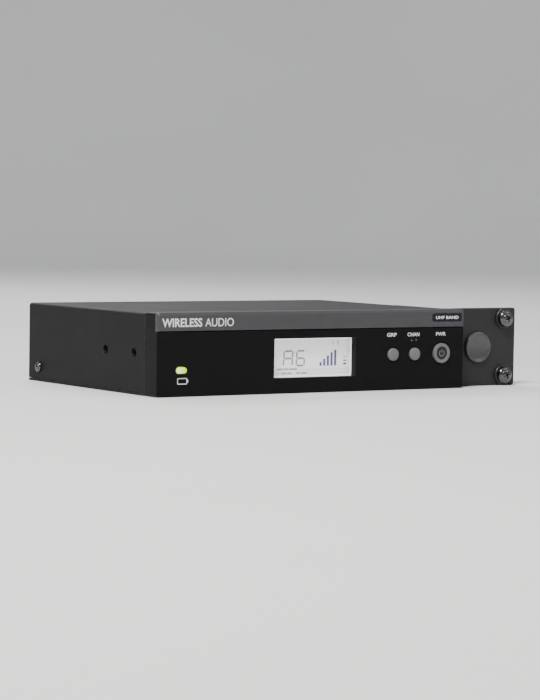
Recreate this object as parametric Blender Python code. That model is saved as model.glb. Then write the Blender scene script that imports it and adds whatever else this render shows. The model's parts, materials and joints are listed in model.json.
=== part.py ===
"""Half-rack wireless receiver with one rack ear, as an assembly of separate pieces.

Frame: +Z up, the front faces -Y, +X is to the right of a person facing the front.
The origin is the middle of the housing's underside.
"""

from math import cos, pi, radians, sin

import bmesh
import bpy
from mathutils import Matrix, Vector

MM = 0.001
GAP = 0.3 * MM                    # clearance between neighbouring pieces

# Housing
BODY_WIDTH = 196.5 * MM
BODY_HEIGHT = 43.6 * MM
BODY_DEPTH = 140.5 * MM           # front face to rear wall
SHEET = 1.2 * MM                  # folded steel
FRONT = -BODY_DEPTH / 2
REAR = BODY_DEPTH / 2
SIDE = BODY_WIDTH / 2

# Front panel, measured from the front face towards the rear
FACE = 2.6 * MM                   # wall of the bezel
RIM = 1.8 * MM                    # thickness of the bezel's returns
BEZEL_DEPTH = 12.1 * MM
STRIP_HEIGHT = 9.7 * MM
STRIP_PROUD = 0.4 * MM
STRIP_BACK = 2.2 * MM
STRIP_LOW = BODY_HEIGHT - STRIP_HEIGHT
LABEL_SIZE = (19.6 * MM, 4.2 * MM, 0.5 * MM)
LABEL_CENTRE = (86.35 * MM, 39.2 * MM)

# Display
WINDOW_SIZE = (52.3 * MM, 20.8 * MM)
WINDOW_CENTRE = (-0.2 * MM, 18.7 * MM)
WINDOW_LIP = 4.4 * MM             # depth of the recess walls
GLASS_FRONT = WINDOW_LIP + GAP
GLASS_THICK = 2.2 * MM
GLASS_SIZE = (56.0 * MM, 24.4 * MM)
HOLDER_SIZE = (60.4 * MM, 28.4 * MM)
BACKLIGHT_THICK = 2.7 * MM
BOARD_THICK = 1.6 * MM
DISPLAY_BOARD_FRONT = 10.5 * MM

# Buttons and lamp: name, centre x, centre z, cap radius
BUTTONS = (
    ("group", 50.35 * MM, 19.4 * MM, 3.5 * MM),
    ("channel", 64.85 * MM, 19.4 * MM, 3.5 * MM),
    ("power", 82.85 * MM, 19.6 * MM, 5.5 * MM),
)
BUTTON_PROUD = 1.2 * MM
BUTTON_TRAVEL = 0.5 * MM
SWITCH_FRONT = 6.9 * MM
LAMP_CENTRE = (-83.45 * MM, 13.7 * MM)
LAMP_SIZE = (6.1 * MM, 3.1 * MM)

# Fixings
STAKES = [(x, z) for x in (-60 * MM, 74 * MM) for z in (8 * MM, 30 * MM)]
STAKE = 1.2 * MM                  # radius of the heat-staked pins
HOOKS_X = (-70 * MM, -30 * MM, 64 * MM)
BOARD_SCREWS = (("left", -80 * MM), ("right", 80 * MM))
BOARD_SCREW_Y = -42 * MM
BOARD_REST_Y = 56 * MM
BRACKET_SCREWS = (("front", FRONT + 24 * MM), ("rear", FRONT + 54 * MM))
BRACKET_Z = 21.8 * MM
COVER_SCREW_Y = 58 * MM
COVER_SCREW_Z = 8 * MM

# Sheet-metal planes
TRAY_FRONT = FRONT + BEZEL_DEPTH + GAP
TRAY_SIDE = SIDE - SHEET - GAP
TRAY_TOP = 41.4 * MM
COVER_TOP = 43.1 * MM
BRACKET_HOLE = 2.6 * MM           # radius
COVER_HOLE = 1.7 * MM

# Main board
MAIN_LOW = 7.5 * MM
MAIN_TOP = MAIN_LOW + BOARD_THICK
MAIN_SIDE = 90 * MM

# Rear connectors: centre x, centre z
ANTENNAS = (("antenna_a", 86 * MM, 22 * MM), ("antenna_b", -86 * MM, 22 * MM))
XLR = (14 * MM, 22 * MM)
JACK = (-20 * MM, 17 * MM)
LEVEL = (-48 * MM, 17 * MM)
DC = (52 * MM, 15.5 * MM)
HOOK = (66 * MM, 24 * MM)
XLR_SCREWS = (("upper", -9.5 * MM, 12 * MM), ("lower", 9.5 * MM, -12 * MM))
REACH = 10.1 * MM                 # how far the rear pieces stand out

# Rack ear
EAR_SETBACK = 10.0 * MM           # behind the front face
EAR_THICK = 3.0 * MM
EAR_INNER = SIDE + GAP
EAR_OUTER = 142.15 * MM
EAR_FLANGE = 2.4 * MM
EAR_LENGTH = 58 * MM
PLUG = (115.3 * MM, 21.8 * MM)
PLUG_HOLE = 7.0 * MM
RACK_HOLE_X = 133.4 * MM
RACK_HOLES = (("lower", 5.9 * MM), ("upper", 37.65 * MM))
SLOT_SIZE = (10.5 * MM, 7.0 * MM)

TURN_YZ = Matrix(((0, 0, 1, 0), (1, 0, 0, 0), (0, 1, 0, 0), (0, 0, 0, 1)))
FACINGS = {
    "up": (0, 0, 0),
    "front": (radians(90), 0, 0),
    "rear": (radians(-90), 0, 0),
    "right": (0, radians(90), 0),
    "left": (0, radians(-90), 0),
}


# ---------------------------------------------------------------- materials

def finish(name, colour, roughness, metallic=0.0):
    """A Principled material of one colour."""
    made = bpy.data.materials.new(name)
    made.use_nodes = True
    shader = made.node_tree.nodes["Principled BSDF"]
    shader.inputs["Base Color"].default_value = (*colour, 1)
    shader.inputs["Roughness"].default_value = roughness
    shader.inputs["Metallic"].default_value = metallic
    return made


LOOKS = {
    "black_plastic": ((0.012, 0.012, 0.014), 0.35, 0.0),
    "black_paint": ((0.02, 0.02, 0.022), 0.5, 0.2),
    "grey_paint": ((0.085, 0.085, 0.09), 0.45, 0.3),
    "ear_paint": ((0.03, 0.03, 0.032), 0.55, 0.2),
    "button_grey": ((0.22, 0.22, 0.23), 0.5, 0.0),
    "display_white": ((0.75, 0.76, 0.78), 0.2, 0.0),
    "white_plastic": ((0.8, 0.8, 0.78), 0.4, 0.0),
    "lamp_green": ((0.55, 0.8, 0.05), 0.3, 0.0),
    "circuit_board": ((0.02, 0.12, 0.05), 0.5, 0.0),
    "steel": ((0.6, 0.6, 0.6), 0.3, 1.0),
    "dark_steel": ((0.12, 0.12, 0.125), 0.3, 1.0),
    "nickel": ((0.65, 0.63, 0.58), 0.25, 1.0),
    "brass": ((0.72, 0.52, 0.2), 0.3, 1.0),
    "nylon": ((0.01, 0.01, 0.01), 0.45, 0.0),
}


# ---------------------------------------------------------------- mesh building

def add_block(bm, low, high):
    """Add an axis-aligned box given by its low and high corners."""
    low, high = Vector(low), Vector(high)
    place = Matrix.Translation((low + high) / 2) @ Matrix.Diagonal((*(high - low), 1))
    bmesh.ops.create_cube(bm, size=1, matrix=place)


def add_turned(bm, profile, steps, centre=(0, 0)):
    """Add a solid turned about a line along Z; the profile is a closed loop of (radius, height)."""
    cx, cy = centre
    rings = []
    for radius, height in profile:
        if radius == 0:
            rings.append([bm.verts.new((cx, cy, height))])
            continue
        angles = [2 * pi * k / steps for k in range(steps)]
        rings.append([bm.verts.new((cx + radius * cos(a), cy + radius * sin(a), height))
                      for a in angles])
    faces = []
    for ring, following in zip(rings, rings[1:] + rings[:1]):
        if len(ring) == 1 and len(following) == 1:
            continue
        for k in range(steps):
            after = (k + 1) % steps
            corners = [ring[k], ring[after]] if len(ring) > 1 else [ring[0]]
            corners += [following[after], following[k]] if len(following) > 1 else [following[0]]
            faces.append(bm.faces.new(corners))
    bmesh.ops.recalc_face_normals(bm, faces=faces)


def add_prism(bm, outline, low, high):
    """Add an outline in the XY plane, extruded from low to high."""
    base = [bm.verts.new((x, y, low)) for x, y in outline]
    top = [bm.verts.new((x, y, high)) for x, y in outline]
    faces = [bm.faces.new(base), bm.faces.new(top)]
    count = len(outline)
    for k in range(count):
        after = (k + 1) % count
        faces.append(bm.faces.new((base[k], base[after], top[after], top[k])))
    bmesh.ops.recalc_face_normals(bm, faces=faces)


def rod(radius, low, high):
    """Profile of a plain round rod."""
    return [(0, low), (radius, low), (radius, high), (0, high)]


def tube(inner, outer, low, high):
    """Profile of a plain round tube."""
    return [(inner, low), (outer, low), (outer, high), (inner, high)]


def rounded_outline(size, radius, steps=3, centre=(0, 0)):
    """Rectangle with round corners."""
    half_x, half_y = size[0] / 2 - radius, size[1] / 2 - radius
    points = []
    for quarter, (sx, sy) in enumerate(((1, 1), (-1, 1), (-1, -1), (1, -1))):
        for k in range(steps + 1):
            angle = (quarter + k / steps) * pi / 2
            points.append((centre[0] + sx * half_x + radius * cos(angle),
                           centre[1] + sy * half_y + radius * sin(angle)))
    return points


def hexagon(across_flats):
    """Six corners of a nut."""
    reach = across_flats / 2 / cos(pi / 6)
    return [(reach * cos(k * pi / 3), reach * sin(k * pi / 3)) for k in range(6)]


def make(name, bm, look, at=(0, 0, 0), facing="up", parent=None):
    """Turn a bmesh into a named object that is placed and painted."""
    mesh = bpy.data.meshes.new(name)
    bm.to_mesh(mesh)
    bm.free()
    made = bpy.data.objects.new(name, mesh)
    bpy.context.scene.collection.objects.link(made)
    made.location = at
    made.rotation_euler = FACINGS[facing]
    made.parent = parent
    if look:
        made.data.materials.append(finish(name + "_" + look, *LOOKS[look]))
        mesh.shade_smooth()
        mesh.set_sharp_from_angle(angle=radians(35))
    return made


def tool(name, bm, at=(0, 0, 0), facing="up"):
    """An object that only cuts or adds to another one."""
    made = make(name, bm, None, at, facing)
    made.hide_render = True
    made.display_type = "WIRE"
    return made


def combine(target, other, operation):
    """Cut one object by another, or join them, with an exact Boolean."""
    modifier = target.modifiers.new(operation.lower() + "_" + other.name, "BOOLEAN")
    modifier.operation = operation
    modifier.solver = "EXACT"
    modifier.object = other


def cut(target, *cutters):
    for cutter in cutters:
        combine(target, cutter, "DIFFERENCE")


def add(target, *additions):
    for addition in additions:
        combine(target, addition, "UNION")


def turned_piece(name, look, profile, steps, at, facing, parent=None):
    """A single turned piece."""
    bm = bmesh.new()
    add_turned(bm, profile, steps)
    return make(name, bm, look, at, facing, parent)


def panel_holes(name, places, radius, low, high, at, facing="front", steps=12):
    """A cutter with one round rod for each place."""
    bm = bmesh.new()
    for place in places:
        add_turned(bm, rod(radius, low, high), steps, place)
    return tool(name, bm, at, facing)


def screw_profile(shank, head, length, height):
    """Pan-head screw: its head stands from 0 to height, its shank runs down from 0."""
    return [(0, -length), (shank * 0.8, -length), (shank, -length + shank * 0.4), (shank, 0),
            (head, 0), (head, height * 0.45), (head * 0.72, height * 0.9),
            (head * 0.3, height), (head * 0.3, height * 0.5), (0, height * 0.5)]


def append(bm, piece, place):
    """Add the faces of one bmesh to another, moved to their place."""
    piece.transform(place)
    mesh = bpy.data.meshes.new("piece")
    piece.to_mesh(mesh)
    piece.free()
    bm.from_mesh(mesh)
    bpy.data.meshes.remove(mesh)


# ---------------------------------------------------------------- front panel

def bezel_blank():
    """Outer block of the bezel with its front edges broken."""
    bm = bmesh.new()
    add_block(bm, (-SIDE, 0, 0), (SIDE, BEZEL_DEPTH, BODY_HEIGHT))
    front_edges = [e for e in bm.edges if all(v.co.y < MM for v in e.verts)]
    bmesh.ops.bevel(bm, geom=front_edges, offset=0.7 * MM, segments=2, profile=0.5,
                    affect="EDGES")
    return make("front_bezel", bm, "black_plastic", (0, FRONT, 0))


def bezel_pocket(name, low_z, high_z, depth):
    """Cutter for one part of the hollow behind the bezel's wall."""
    bm = bmesh.new()
    add_block(bm, (-SIDE + RIM, depth, low_z), (SIDE - RIM, BEZEL_DEPTH + MM, high_z))
    return tool(name, bm, (0, FRONT, 0))


def bezel_additions():
    """Walls round the display recess, and the screw bosses."""
    overlap = 0.1 * MM
    bm = bmesh.new()
    half = [size / 2 + 2.2 * MM for size in WINDOW_SIZE]
    x, z = WINDOW_CENTRE
    add_block(bm, (x - half[0], FACE - overlap, z - half[1]), (x + half[0], WINDOW_LIP, z + half[1]))
    walls = tool("recess_walls", bm, (0, FRONT, 0))
    bm = bmesh.new()
    shoulder = -DISPLAY_BOARD_FRONT + GAP
    for place in STAKES:
        profile = [(0, shoulder - 2.8 * MM), (STAKE, shoulder - 2.8 * MM), (STAKE, shoulder),
                   (3 * MM, shoulder), (3 * MM, -FACE + overlap), (0, -FACE + overlap)]
        add_turned(bm, profile, 12, place)
    return walls, tool("stakes", bm, (0, FRONT, 0), "front"), snap_hooks()


def snap_hooks():
    """Hooks on the bezel's top and bottom returns that catch behind the tray's front wall."""
    catch = BEZEL_DEPTH + SHEET + 2 * GAP
    root = BEZEL_DEPTH - 3 * MM
    tip = catch + 1.8 * MM
    thick = 1.9 * MM
    bm = bmesh.new()
    for x in HOOKS_X:
        for base, inward in ((RIM, 1), (BODY_HEIGHT - RIM - MM, -1)):
            bite = base - inward * 1.1 * MM
            outline = [(root, bite), (BEZEL_DEPTH, bite), (BEZEL_DEPTH, base), (tip, base),
                       (tip, base + inward * thick), (catch, base + inward * 2 * thick),
                       (catch, base + inward * thick), (root, base + inward * thick)]
            piece = bmesh.new()
            add_prism(piece, outline, x - 4 * MM, x + 4 * MM)
            append(bm, piece, TURN_YZ)
    return tool("snap_hooks", bm, (0, FRONT, 0))


def bezel_openings():
    """Cutters for the display window, the lamp, the buttons and the strip."""
    x, z = WINDOW_CENTRE
    bm = bmesh.new()
    add_block(bm, (x - WINDOW_SIZE[0] / 2, -MM, z - WINDOW_SIZE[1] / 2),
              (x + WINDOW_SIZE[0] / 2, WINDOW_LIP + MM, z + WINDOW_SIZE[1] / 2))
    window = tool("window_cut", bm, (0, FRONT, 0))
    bm = bmesh.new()
    size = [side + 2 * GAP for side in LAMP_SIZE]
    add_prism(bm, rounded_outline(size, size[1] / 2.01, 4, LAMP_CENTRE), -4 * MM, MM)
    for _, bx, bz, radius in BUTTONS:
        hole = radius + GAP
        flare = 0.7 * MM
        profile = [(0, -4 * MM), (hole, -4 * MM), (hole, -flare), (hole + flare + MM, MM), (0, MM)]
        add_turned(bm, profile, 28, (bx, bz))
    openings = tool("front_holes", bm, (0, FRONT, 0), "front")
    bm = bmesh.new()
    add_block(bm, (-SIDE - MM, -MM, STRIP_LOW - GAP), (SIDE + MM, STRIP_BACK + GAP, BODY_HEIGHT + MM))
    return window, openings, tool("strip_rebate", bm, (0, FRONT, 0))


def build_bezel():
    bezel = bezel_blank()
    divide = STRIP_LOW - 0.7 * MM
    cut(bezel, bezel_pocket("lower_pocket", RIM, divide, FACE),
        bezel_pocket("upper_pocket", divide - 0.1 * MM, BODY_HEIGHT - RIM, FACE + 2 * MM))
    add(bezel, *bezel_additions())
    cut(bezel, *bezel_openings())


def build_strip():
    """Strip across the top of the front: round top corners and a bevelled front edge."""
    radius = 1.5 * MM
    outline = [(-SIDE, STRIP_LOW), (SIDE, STRIP_LOW)]
    for side in (1, -1):
        for k in range(4):
            angle = (k / 3 if side > 0 else 1 + k / 3) * pi / 2
            outline.append((side * (SIDE - radius) + radius * cos(angle),
                            BODY_HEIGHT - radius + radius * sin(angle)))
    bm = bmesh.new()
    add_prism(bm, outline, -STRIP_BACK, STRIP_PROUD)
    edges = [e for e in bm.edges
             if all(v.co.z > 0 for v in e.verts) and any(v.co.y > STRIP_LOW + MM for v in e.verts)]
    bmesh.ops.bevel(bm, geom=edges, offset=0.9 * MM, segments=3, profile=0.6, affect="EDGES")
    strip = make("trim_strip", bm, "grey_paint", (0, FRONT, 0), "front")
    bm = bmesh.new()
    size = [side + 2 * GAP for side in LABEL_SIZE[:2]]
    add_prism(bm, rounded_outline(size, 1.3 * MM, 3, LABEL_CENTRE), -GAP, MM)
    cut(strip, tool("label_recess", bm, (0, FRONT, 0), "front"))
    bm = bmesh.new()
    add_prism(bm, rounded_outline(LABEL_SIZE[:2], MM, 3), 0, LABEL_SIZE[2])
    make("band_label", bm, "black_plastic", (LABEL_CENTRE[0], FRONT, LABEL_CENTRE[1]), "front")


def plate(name, look, size, centre, low, high):
    """Upright plate behind the front face, between two depths."""
    bm = bmesh.new()
    add_block(bm, (-size[0] / 2, low, -size[1] / 2), (size[0] / 2, high, size[1] / 2))
    return make(name, bm, look, (centre[0], FRONT, centre[1]))


def build_display():
    glass_back = GLASS_FRONT + GLASS_THICK
    plate("lcd_glass", "display_white", GLASS_SIZE, WINDOW_CENTRE, GLASS_FRONT, glass_back)
    plate("backlight_panel", "white_plastic", GLASS_SIZE, WINDOW_CENTRE,
          glass_back + GAP, glass_back + GAP + BACKLIGHT_THICK)
    holder = plate("lcd_holder", "white_plastic", HOLDER_SIZE, WINDOW_CENTRE,
                   GLASS_FRONT, DISPLAY_BOARD_FRONT - GAP)
    bm = bmesh.new()
    half = [side / 2 + GAP for side in GLASS_SIZE]
    add_block(bm, (-half[0], 0, -half[1]), (half[0], DISPLAY_BOARD_FRONT + MM, half[1]))
    cut(holder, tool("holder_cut", bm, (WINDOW_CENTRE[0], FRONT, WINDOW_CENTRE[1])))

    bm = bmesh.new()
    add_block(bm, (-87 * MM, 0, 4.2 * MM), (87 * MM, BOARD_THICK, 32.5 * MM))
    at = (0, FRONT + DISPLAY_BOARD_FRONT, 0)
    board = make("display_board", bm, "circuit_board", at)
    cut(board, panel_holes("display_board_holes", STAKES, STAKE + GAP, -3 * MM, MM, at))


def build_button(name, x, z, radius):
    """Push button with its retaining flange, the switch behind it and the switch's plunger."""
    joint = bpy.data.objects.new(name + "_axis", None)
    joint.location = (x, FRONT, z)
    bpy.context.scene.collection.objects.link(joint)
    flange = FACE + GAP
    stem = 1.6 * MM
    profile = [(0, -flange - 2.5 * MM), (stem, -flange - 2.5 * MM), (stem, -flange - MM),
               (radius + 1.1 * MM, -flange - MM), (radius + 1.1 * MM, -flange), (radius, -flange),
               (radius, BUTTON_PROUD - 0.5 * MM), (radius - 0.15 * MM, BUTTON_PROUD - 0.15 * MM),
               (radius - 0.5 * MM, BUTTON_PROUD), (0, BUTTON_PROUD)]
    turned_piece(name + "_button", "button_grey", profile, 28, (0, 0, 0), "front", joint)
    plunger_front = flange + 2.5 * MM + GAP
    plunger = 1.7 * MM
    turned_piece(name + "_plunger", "nylon", rod(plunger, -plunger_front - 3 * MM, -plunger_front),
                 16, (0, 0, 0), "front", joint)
    bm = bmesh.new()
    half = 3 * MM
    add_block(bm, (-half, SWITCH_FRONT, -half), (half, DISPLAY_BOARD_FRONT - GAP, half))
    switch = make(name + "_switch", bm, "steel", (x, FRONT, z))
    room = 0.3 * MM
    depth = plunger_front + 3 * MM + BUTTON_TRAVEL + room
    bm = bmesh.new()
    add_turned(bm, rod(plunger + GAP, -depth, -SWITCH_FRONT + MM), 16)
    cut(switch, tool(name + "_switch_bore", bm, (x, FRONT, z), "front"))


def build_lamp():
    """Light pipe: the bar that shows, a retaining flange and a stem; and the lamp behind it."""
    at = (LAMP_CENTRE[0], FRONT, LAMP_CENTRE[1])
    flange = FACE + GAP
    bm = bmesh.new()
    add_prism(bm, rounded_outline(LAMP_SIZE, LAMP_SIZE[1] / 2.01, 4), -flange - 0.5 * MM, GAP)
    pipe = make("led_light_pipe", bm, "lamp_green", at, "front")
    bm = bmesh.new()
    add_block(bm, (-4.2 * MM, -2.7 * MM, -flange - MM), (4.2 * MM, 2.7 * MM, -flange))
    add(pipe, tool("pipe_flange", bm, at, "front"))
    bm = bmesh.new()
    add_block(bm, (-2.2 * MM, -1.2 * MM, -8.7 * MM), (2.2 * MM, 1.2 * MM, -flange - 0.5 * MM))
    add(pipe, tool("pipe_stem", bm, at, "front"))
    bm = bmesh.new()
    add_block(bm, (-1.6 * MM, 9 * MM, -MM), (1.6 * MM, DISPLAY_BOARD_FRONT - GAP, MM))
    make("status_led", bm, "white_plastic", at)


# ---------------------------------------------------------------- housing

def side_holes(name, side, reach):
    """Cutters through one side: the bracket holes and the cover screw's hole."""
    facing = "right" if side > 0 else "left"
    at = (side * SIDE, 0, 0)
    bracket = [(-side * BRACKET_Z, y) for _, y in BRACKET_SCREWS]
    cover = [(-side * COVER_SCREW_Z, COVER_SCREW_Y)]
    return (panel_holes(name + "_bracket", bracket, BRACKET_HOLE, -reach, MM, at, facing, 16),
            panel_holes(name + "_cover", cover, COVER_HOLE, -reach, MM, at, facing, 16))


def rear_holes():
    """Cutters through the rear wall for everything mounted on it."""
    at = (0, REAR, 0)
    low, high = -4 * MM, MM
    sized = [((x, -z), 5.05 * MM) for _, x, z in ANTENNAS]
    sized += [((XLR[0], -XLR[1]), 10.7 * MM), ((JACK[0], -JACK[1]), 5.0 * MM),
              ((LEVEL[0], -LEVEL[1]), 3.8 * MM), ((DC[0], -DC[1]), 4.5 * MM)]
    sized += [((XLR[0] + x, -XLR[1] - z), 1.5 * MM) for _, x, z in XLR_SCREWS]
    sized += [((HOOK[0], -HOOK[1] - z), 1.4 * MM) for z in (-4.5 * MM, 4.5 * MM)]
    bm = bmesh.new()
    for place, radius in sized:
        add_turned(bm, rod(radius, low, high), 24 if radius > 3 * MM else 12, place)
    return tool("rear_holes", bm, at, "rear")


def tray_additions():
    """Extruded collars for the side screws, and the posts that carry the main board."""
    inside = TRAY_SIDE - SHEET
    collars = []
    for side, facing in ((1, "right"), (-1, "left")):
        bm = bmesh.new()
        for _, y in BRACKET_SCREWS:
            add_turned(bm, rod(3.6 * MM, -2.6 * MM, 0.1 * MM), 16, (-side * BRACKET_Z, y))
        add_turned(bm, rod(2.8 * MM, -2.2 * MM, 0.1 * MM), 16, (-side * COVER_SCREW_Z, COVER_SCREW_Y))
        collars.append(tool("collars_" + facing, bm, (side * inside, 0, 0), facing))
    bm = bmesh.new()
    for _, x in BOARD_SCREWS:
        for y in (BOARD_SCREW_Y, BOARD_REST_Y):
            add_turned(bm, rod(3 * MM, -0.1 * MM, MAIN_LOW - SHEET - GAP), 12, (x, y))
    return (*collars, tool("posts", bm, (0, 0, SHEET)))


def front_wall_cuts():
    """Cutters through the tray's front wall: board connector, stake relief and hook slots."""
    bm = bmesh.new()
    low, high = TRAY_FRONT - MM, TRAY_FRONT + SHEET + MM
    add_block(bm, (-17 * MM, low, MAIN_LOW + MM), (17 * MM, high, 16.5 * MM))
    thick = 1.9 * MM + GAP
    top = BODY_HEIGHT - RIM - MM
    for x in HOOKS_X:
        add_block(bm, (x - 4.3 * MM, low, SHEET), (x + 4.3 * MM, high, RIM + thick))
        add_block(bm, (x - 4.3 * MM, low, top - thick), (x + 4.3 * MM, high, TRAY_TOP + MM))
    relief = panel_holes("stake_relief", STAKES, 2.6 * MM, -3 * MM, MM, (0, TRAY_FRONT, 0))
    return tool("front_wall_cut", bm), relief


def build_tray():
    """Folded tray: bottom, front wall, side walls and the rear wall."""
    bm = bmesh.new()
    add_block(bm, (-TRAY_SIDE, TRAY_FRONT, 0), (TRAY_SIDE, REAR, TRAY_TOP))
    tray = make("chassis_tray", bm, "black_paint")
    bm = bmesh.new()
    add_block(bm, (-TRAY_SIDE + SHEET, TRAY_FRONT + SHEET, SHEET),
              (TRAY_SIDE - SHEET, REAR - SHEET, TRAY_TOP + MM))
    cut(tray, tool("tray_hollow", bm))
    bm = bmesh.new()
    add_block(bm, (-SIDE, TRAY_FRONT, 0), (SIDE, REAR, SHEET))
    add(tray, tool("tray_bottom", bm), *tray_additions())
    cut(tray, *front_wall_cuts(), rear_holes())
    cut(tray, *side_holes("tray_left", -1, 8 * MM), *side_holes("tray_right", 1, 8 * MM))
    places = [(x, BOARD_SCREW_Y) for _, x in BOARD_SCREWS]
    cut(tray, panel_holes("post_holes", places, 1.5 * MM, 2 * MM, MAIN_LOW, (0, 0, 0), "up"))


def build_cover():
    """Folded cover: top and both sides, with a small bend radius, and its two screws."""
    low = SHEET + GAP
    bm = bmesh.new()
    add_block(bm, (-SIDE, TRAY_FRONT, low), (SIDE, REAR, COVER_TOP))
    bends = [e for e in bm.edges if all(v.co.z > low + MM for v in e.verts)
             and e.verts[0].co.x == e.verts[1].co.x]
    bmesh.ops.bevel(bm, geom=bends, offset=1.2 * MM, segments=3, profile=0.5, affect="EDGES")
    cover = make("top_cover", bm, "black_paint")
    bm = bmesh.new()
    add_block(bm, (-SIDE + SHEET, TRAY_FRONT - MM, 0), (SIDE - SHEET, REAR + MM, COVER_TOP - SHEET))
    cut(cover, tool("cover_hollow", bm))
    cut(cover, *side_holes("cover_left", -1, 3 * MM), *side_holes("cover_right", 1, 3 * MM))
    for side, facing in ((-1, "left"), (1, "right")):
        turned_piece("cover_screw_" + facing, "dark_steel",
                     screw_profile(1.4 * MM, 2.9 * MM, 5 * MM, 1.7 * MM), 20,
                     (side * (SIDE + GAP), COVER_SCREW_Y, COVER_SCREW_Z), facing)


# ---------------------------------------------------------------- main board

def build_main_board():
    """Main circuit board with its soldered components, and its two screws."""
    bm = bmesh.new()
    add_block(bm, (-MAIN_SIDE, FRONT + 17 * MM, MAIN_LOW), (MAIN_SIDE, REAR - 3 * MM, MAIN_TOP))
    board = make("main_board", bm, "circuit_board")
    add(board, components())
    places = [(x, BOARD_SCREW_Y) for _, x in BOARD_SCREWS]
    cut(board, panel_holes("main_board_holes", places, 1.5 * MM, -MM, 3 * MM,
                           (0, 0, MAIN_LOW), "up"))
    for side, x in BOARD_SCREWS:
        turned_piece("board_screw_" + side, "steel",
                     screw_profile(1.2 * MM, 2.7 * MM, 5.5 * MM, 1.8 * MM), 14,
                     (x, BOARD_SCREW_Y, MAIN_TOP + GAP), "up")


def components():
    """Capacitors and chips, sunk a little into the board that they are soldered to."""
    sunk = -0.2 * MM
    bm = bmesh.new()
    for y in (-24 * MM, -12 * MM, 0):
        can = [(0, sunk), (4 * MM, sunk), (4 * MM, 10.5 * MM), (3.6 * MM, 11 * MM), (0, 11 * MM)]
        add_turned(bm, can, 14, (80 * MM, y))
    for x, y, wide, deep, tall in ((0, -13, 14, 14, 1.6), (-14, 5, 8, 6, 1.6), (14, 5, 8, 6, 1.6),
                                   (0, 22, 10, 8, 2.4)):
        add_block(bm, ((x - wide / 2) * MM, (y - deep / 2) * MM, sunk),
                  ((x + wide / 2) * MM, (y + deep / 2) * MM, tall * MM))
    return tool("components", bm, (0, 0, MAIN_TOP))


def build_shield(name, x):
    """Sheet cover over a radio section, open towards the board."""
    bm = bmesh.new()
    add_block(bm, (-19 * MM, -24 * MM, 0), (19 * MM, 24 * MM, 8.5 * MM))
    at = (x, -4 * MM, MAIN_TOP + GAP)
    shield = make(name, bm, "steel", at)
    bm = bmesh.new()
    add_block(bm, (-18.2 * MM, -23.2 * MM, -MM), (18.2 * MM, 23.2 * MM, 7.7 * MM))
    cut(shield, tool(name + "_hollow", bm, at))


def build_internals():
    """Covers over the two radio sections, and the connector to the display board."""
    build_shield("tuner_shield_a", 48 * MM)
    build_shield("tuner_shield_b", -48 * MM)
    bm = bmesh.new()
    add_block(bm, (-15 * MM, TRAY_FRONT, MAIN_TOP + GAP), (15 * MM, TRAY_FRONT + 12 * MM, 15.5 * MM))
    make("board_header", bm, "nylon")


# ---------------------------------------------------------------- rear connectors

def build_antenna(name, x, z):
    """Bayonet jack: shell with two lugs, insulator, contact and panel nut."""
    at = (x, REAR, z)
    barrel, bore, throat = 4.75 * MM, 4.1 * MM, 3.0 * MM
    profile = [(throat, -13 * MM), (6.4 * MM, -13 * MM), (6.4 * MM, -SHEET - GAP),
               (barrel, -SHEET - GAP), (barrel, REACH - 0.4 * MM), (barrel - 0.4 * MM, REACH),
               (bore, REACH), (bore, MM), (throat, MM)]
    shell = turned_piece(name + "_shell", "nickel", profile, 24, at, "rear")
    lug = 1.0 * MM
    for side, facing in ((1, "right"), (-1, "left")):
        bm = bmesh.new()
        add_turned(bm, rod(lug, bore + GAP, 5.7 * MM), 10)
        place = (x, REAR + 6.2 * MM, z)
        add(shell, tool(name + "_lug_" + facing, bm, place, facing))
    turned_piece(name + "_insulator", "white_plastic",
                 tube(1.3 * MM, throat - GAP, -12.7 * MM, REACH - 1.8 * MM), 20, at, "rear")
    pin, hole, tip = 1.0 * MM, 0.6 * MM, REACH - 2.2 * MM
    contact = [(0, -12.7 * MM), (pin, -12.7 * MM), (pin, tip), (hole, tip), (hole, tip - 4 * MM),
               (0, tip - 4 * MM)]
    turned_piece(name + "_contact", "brass", contact, 12, at, "rear")
    bm = bmesh.new()
    add_prism(bm, hexagon(13 * MM), GAP, 2.7 * MM)
    nut = make(name + "_nut", bm, "nickel", at, "rear")
    cut(nut, panel_holes(name + "_nut_bore", [(0, 0)], barrel + GAP, -MM, 4 * MM, at, "rear", 24))


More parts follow.
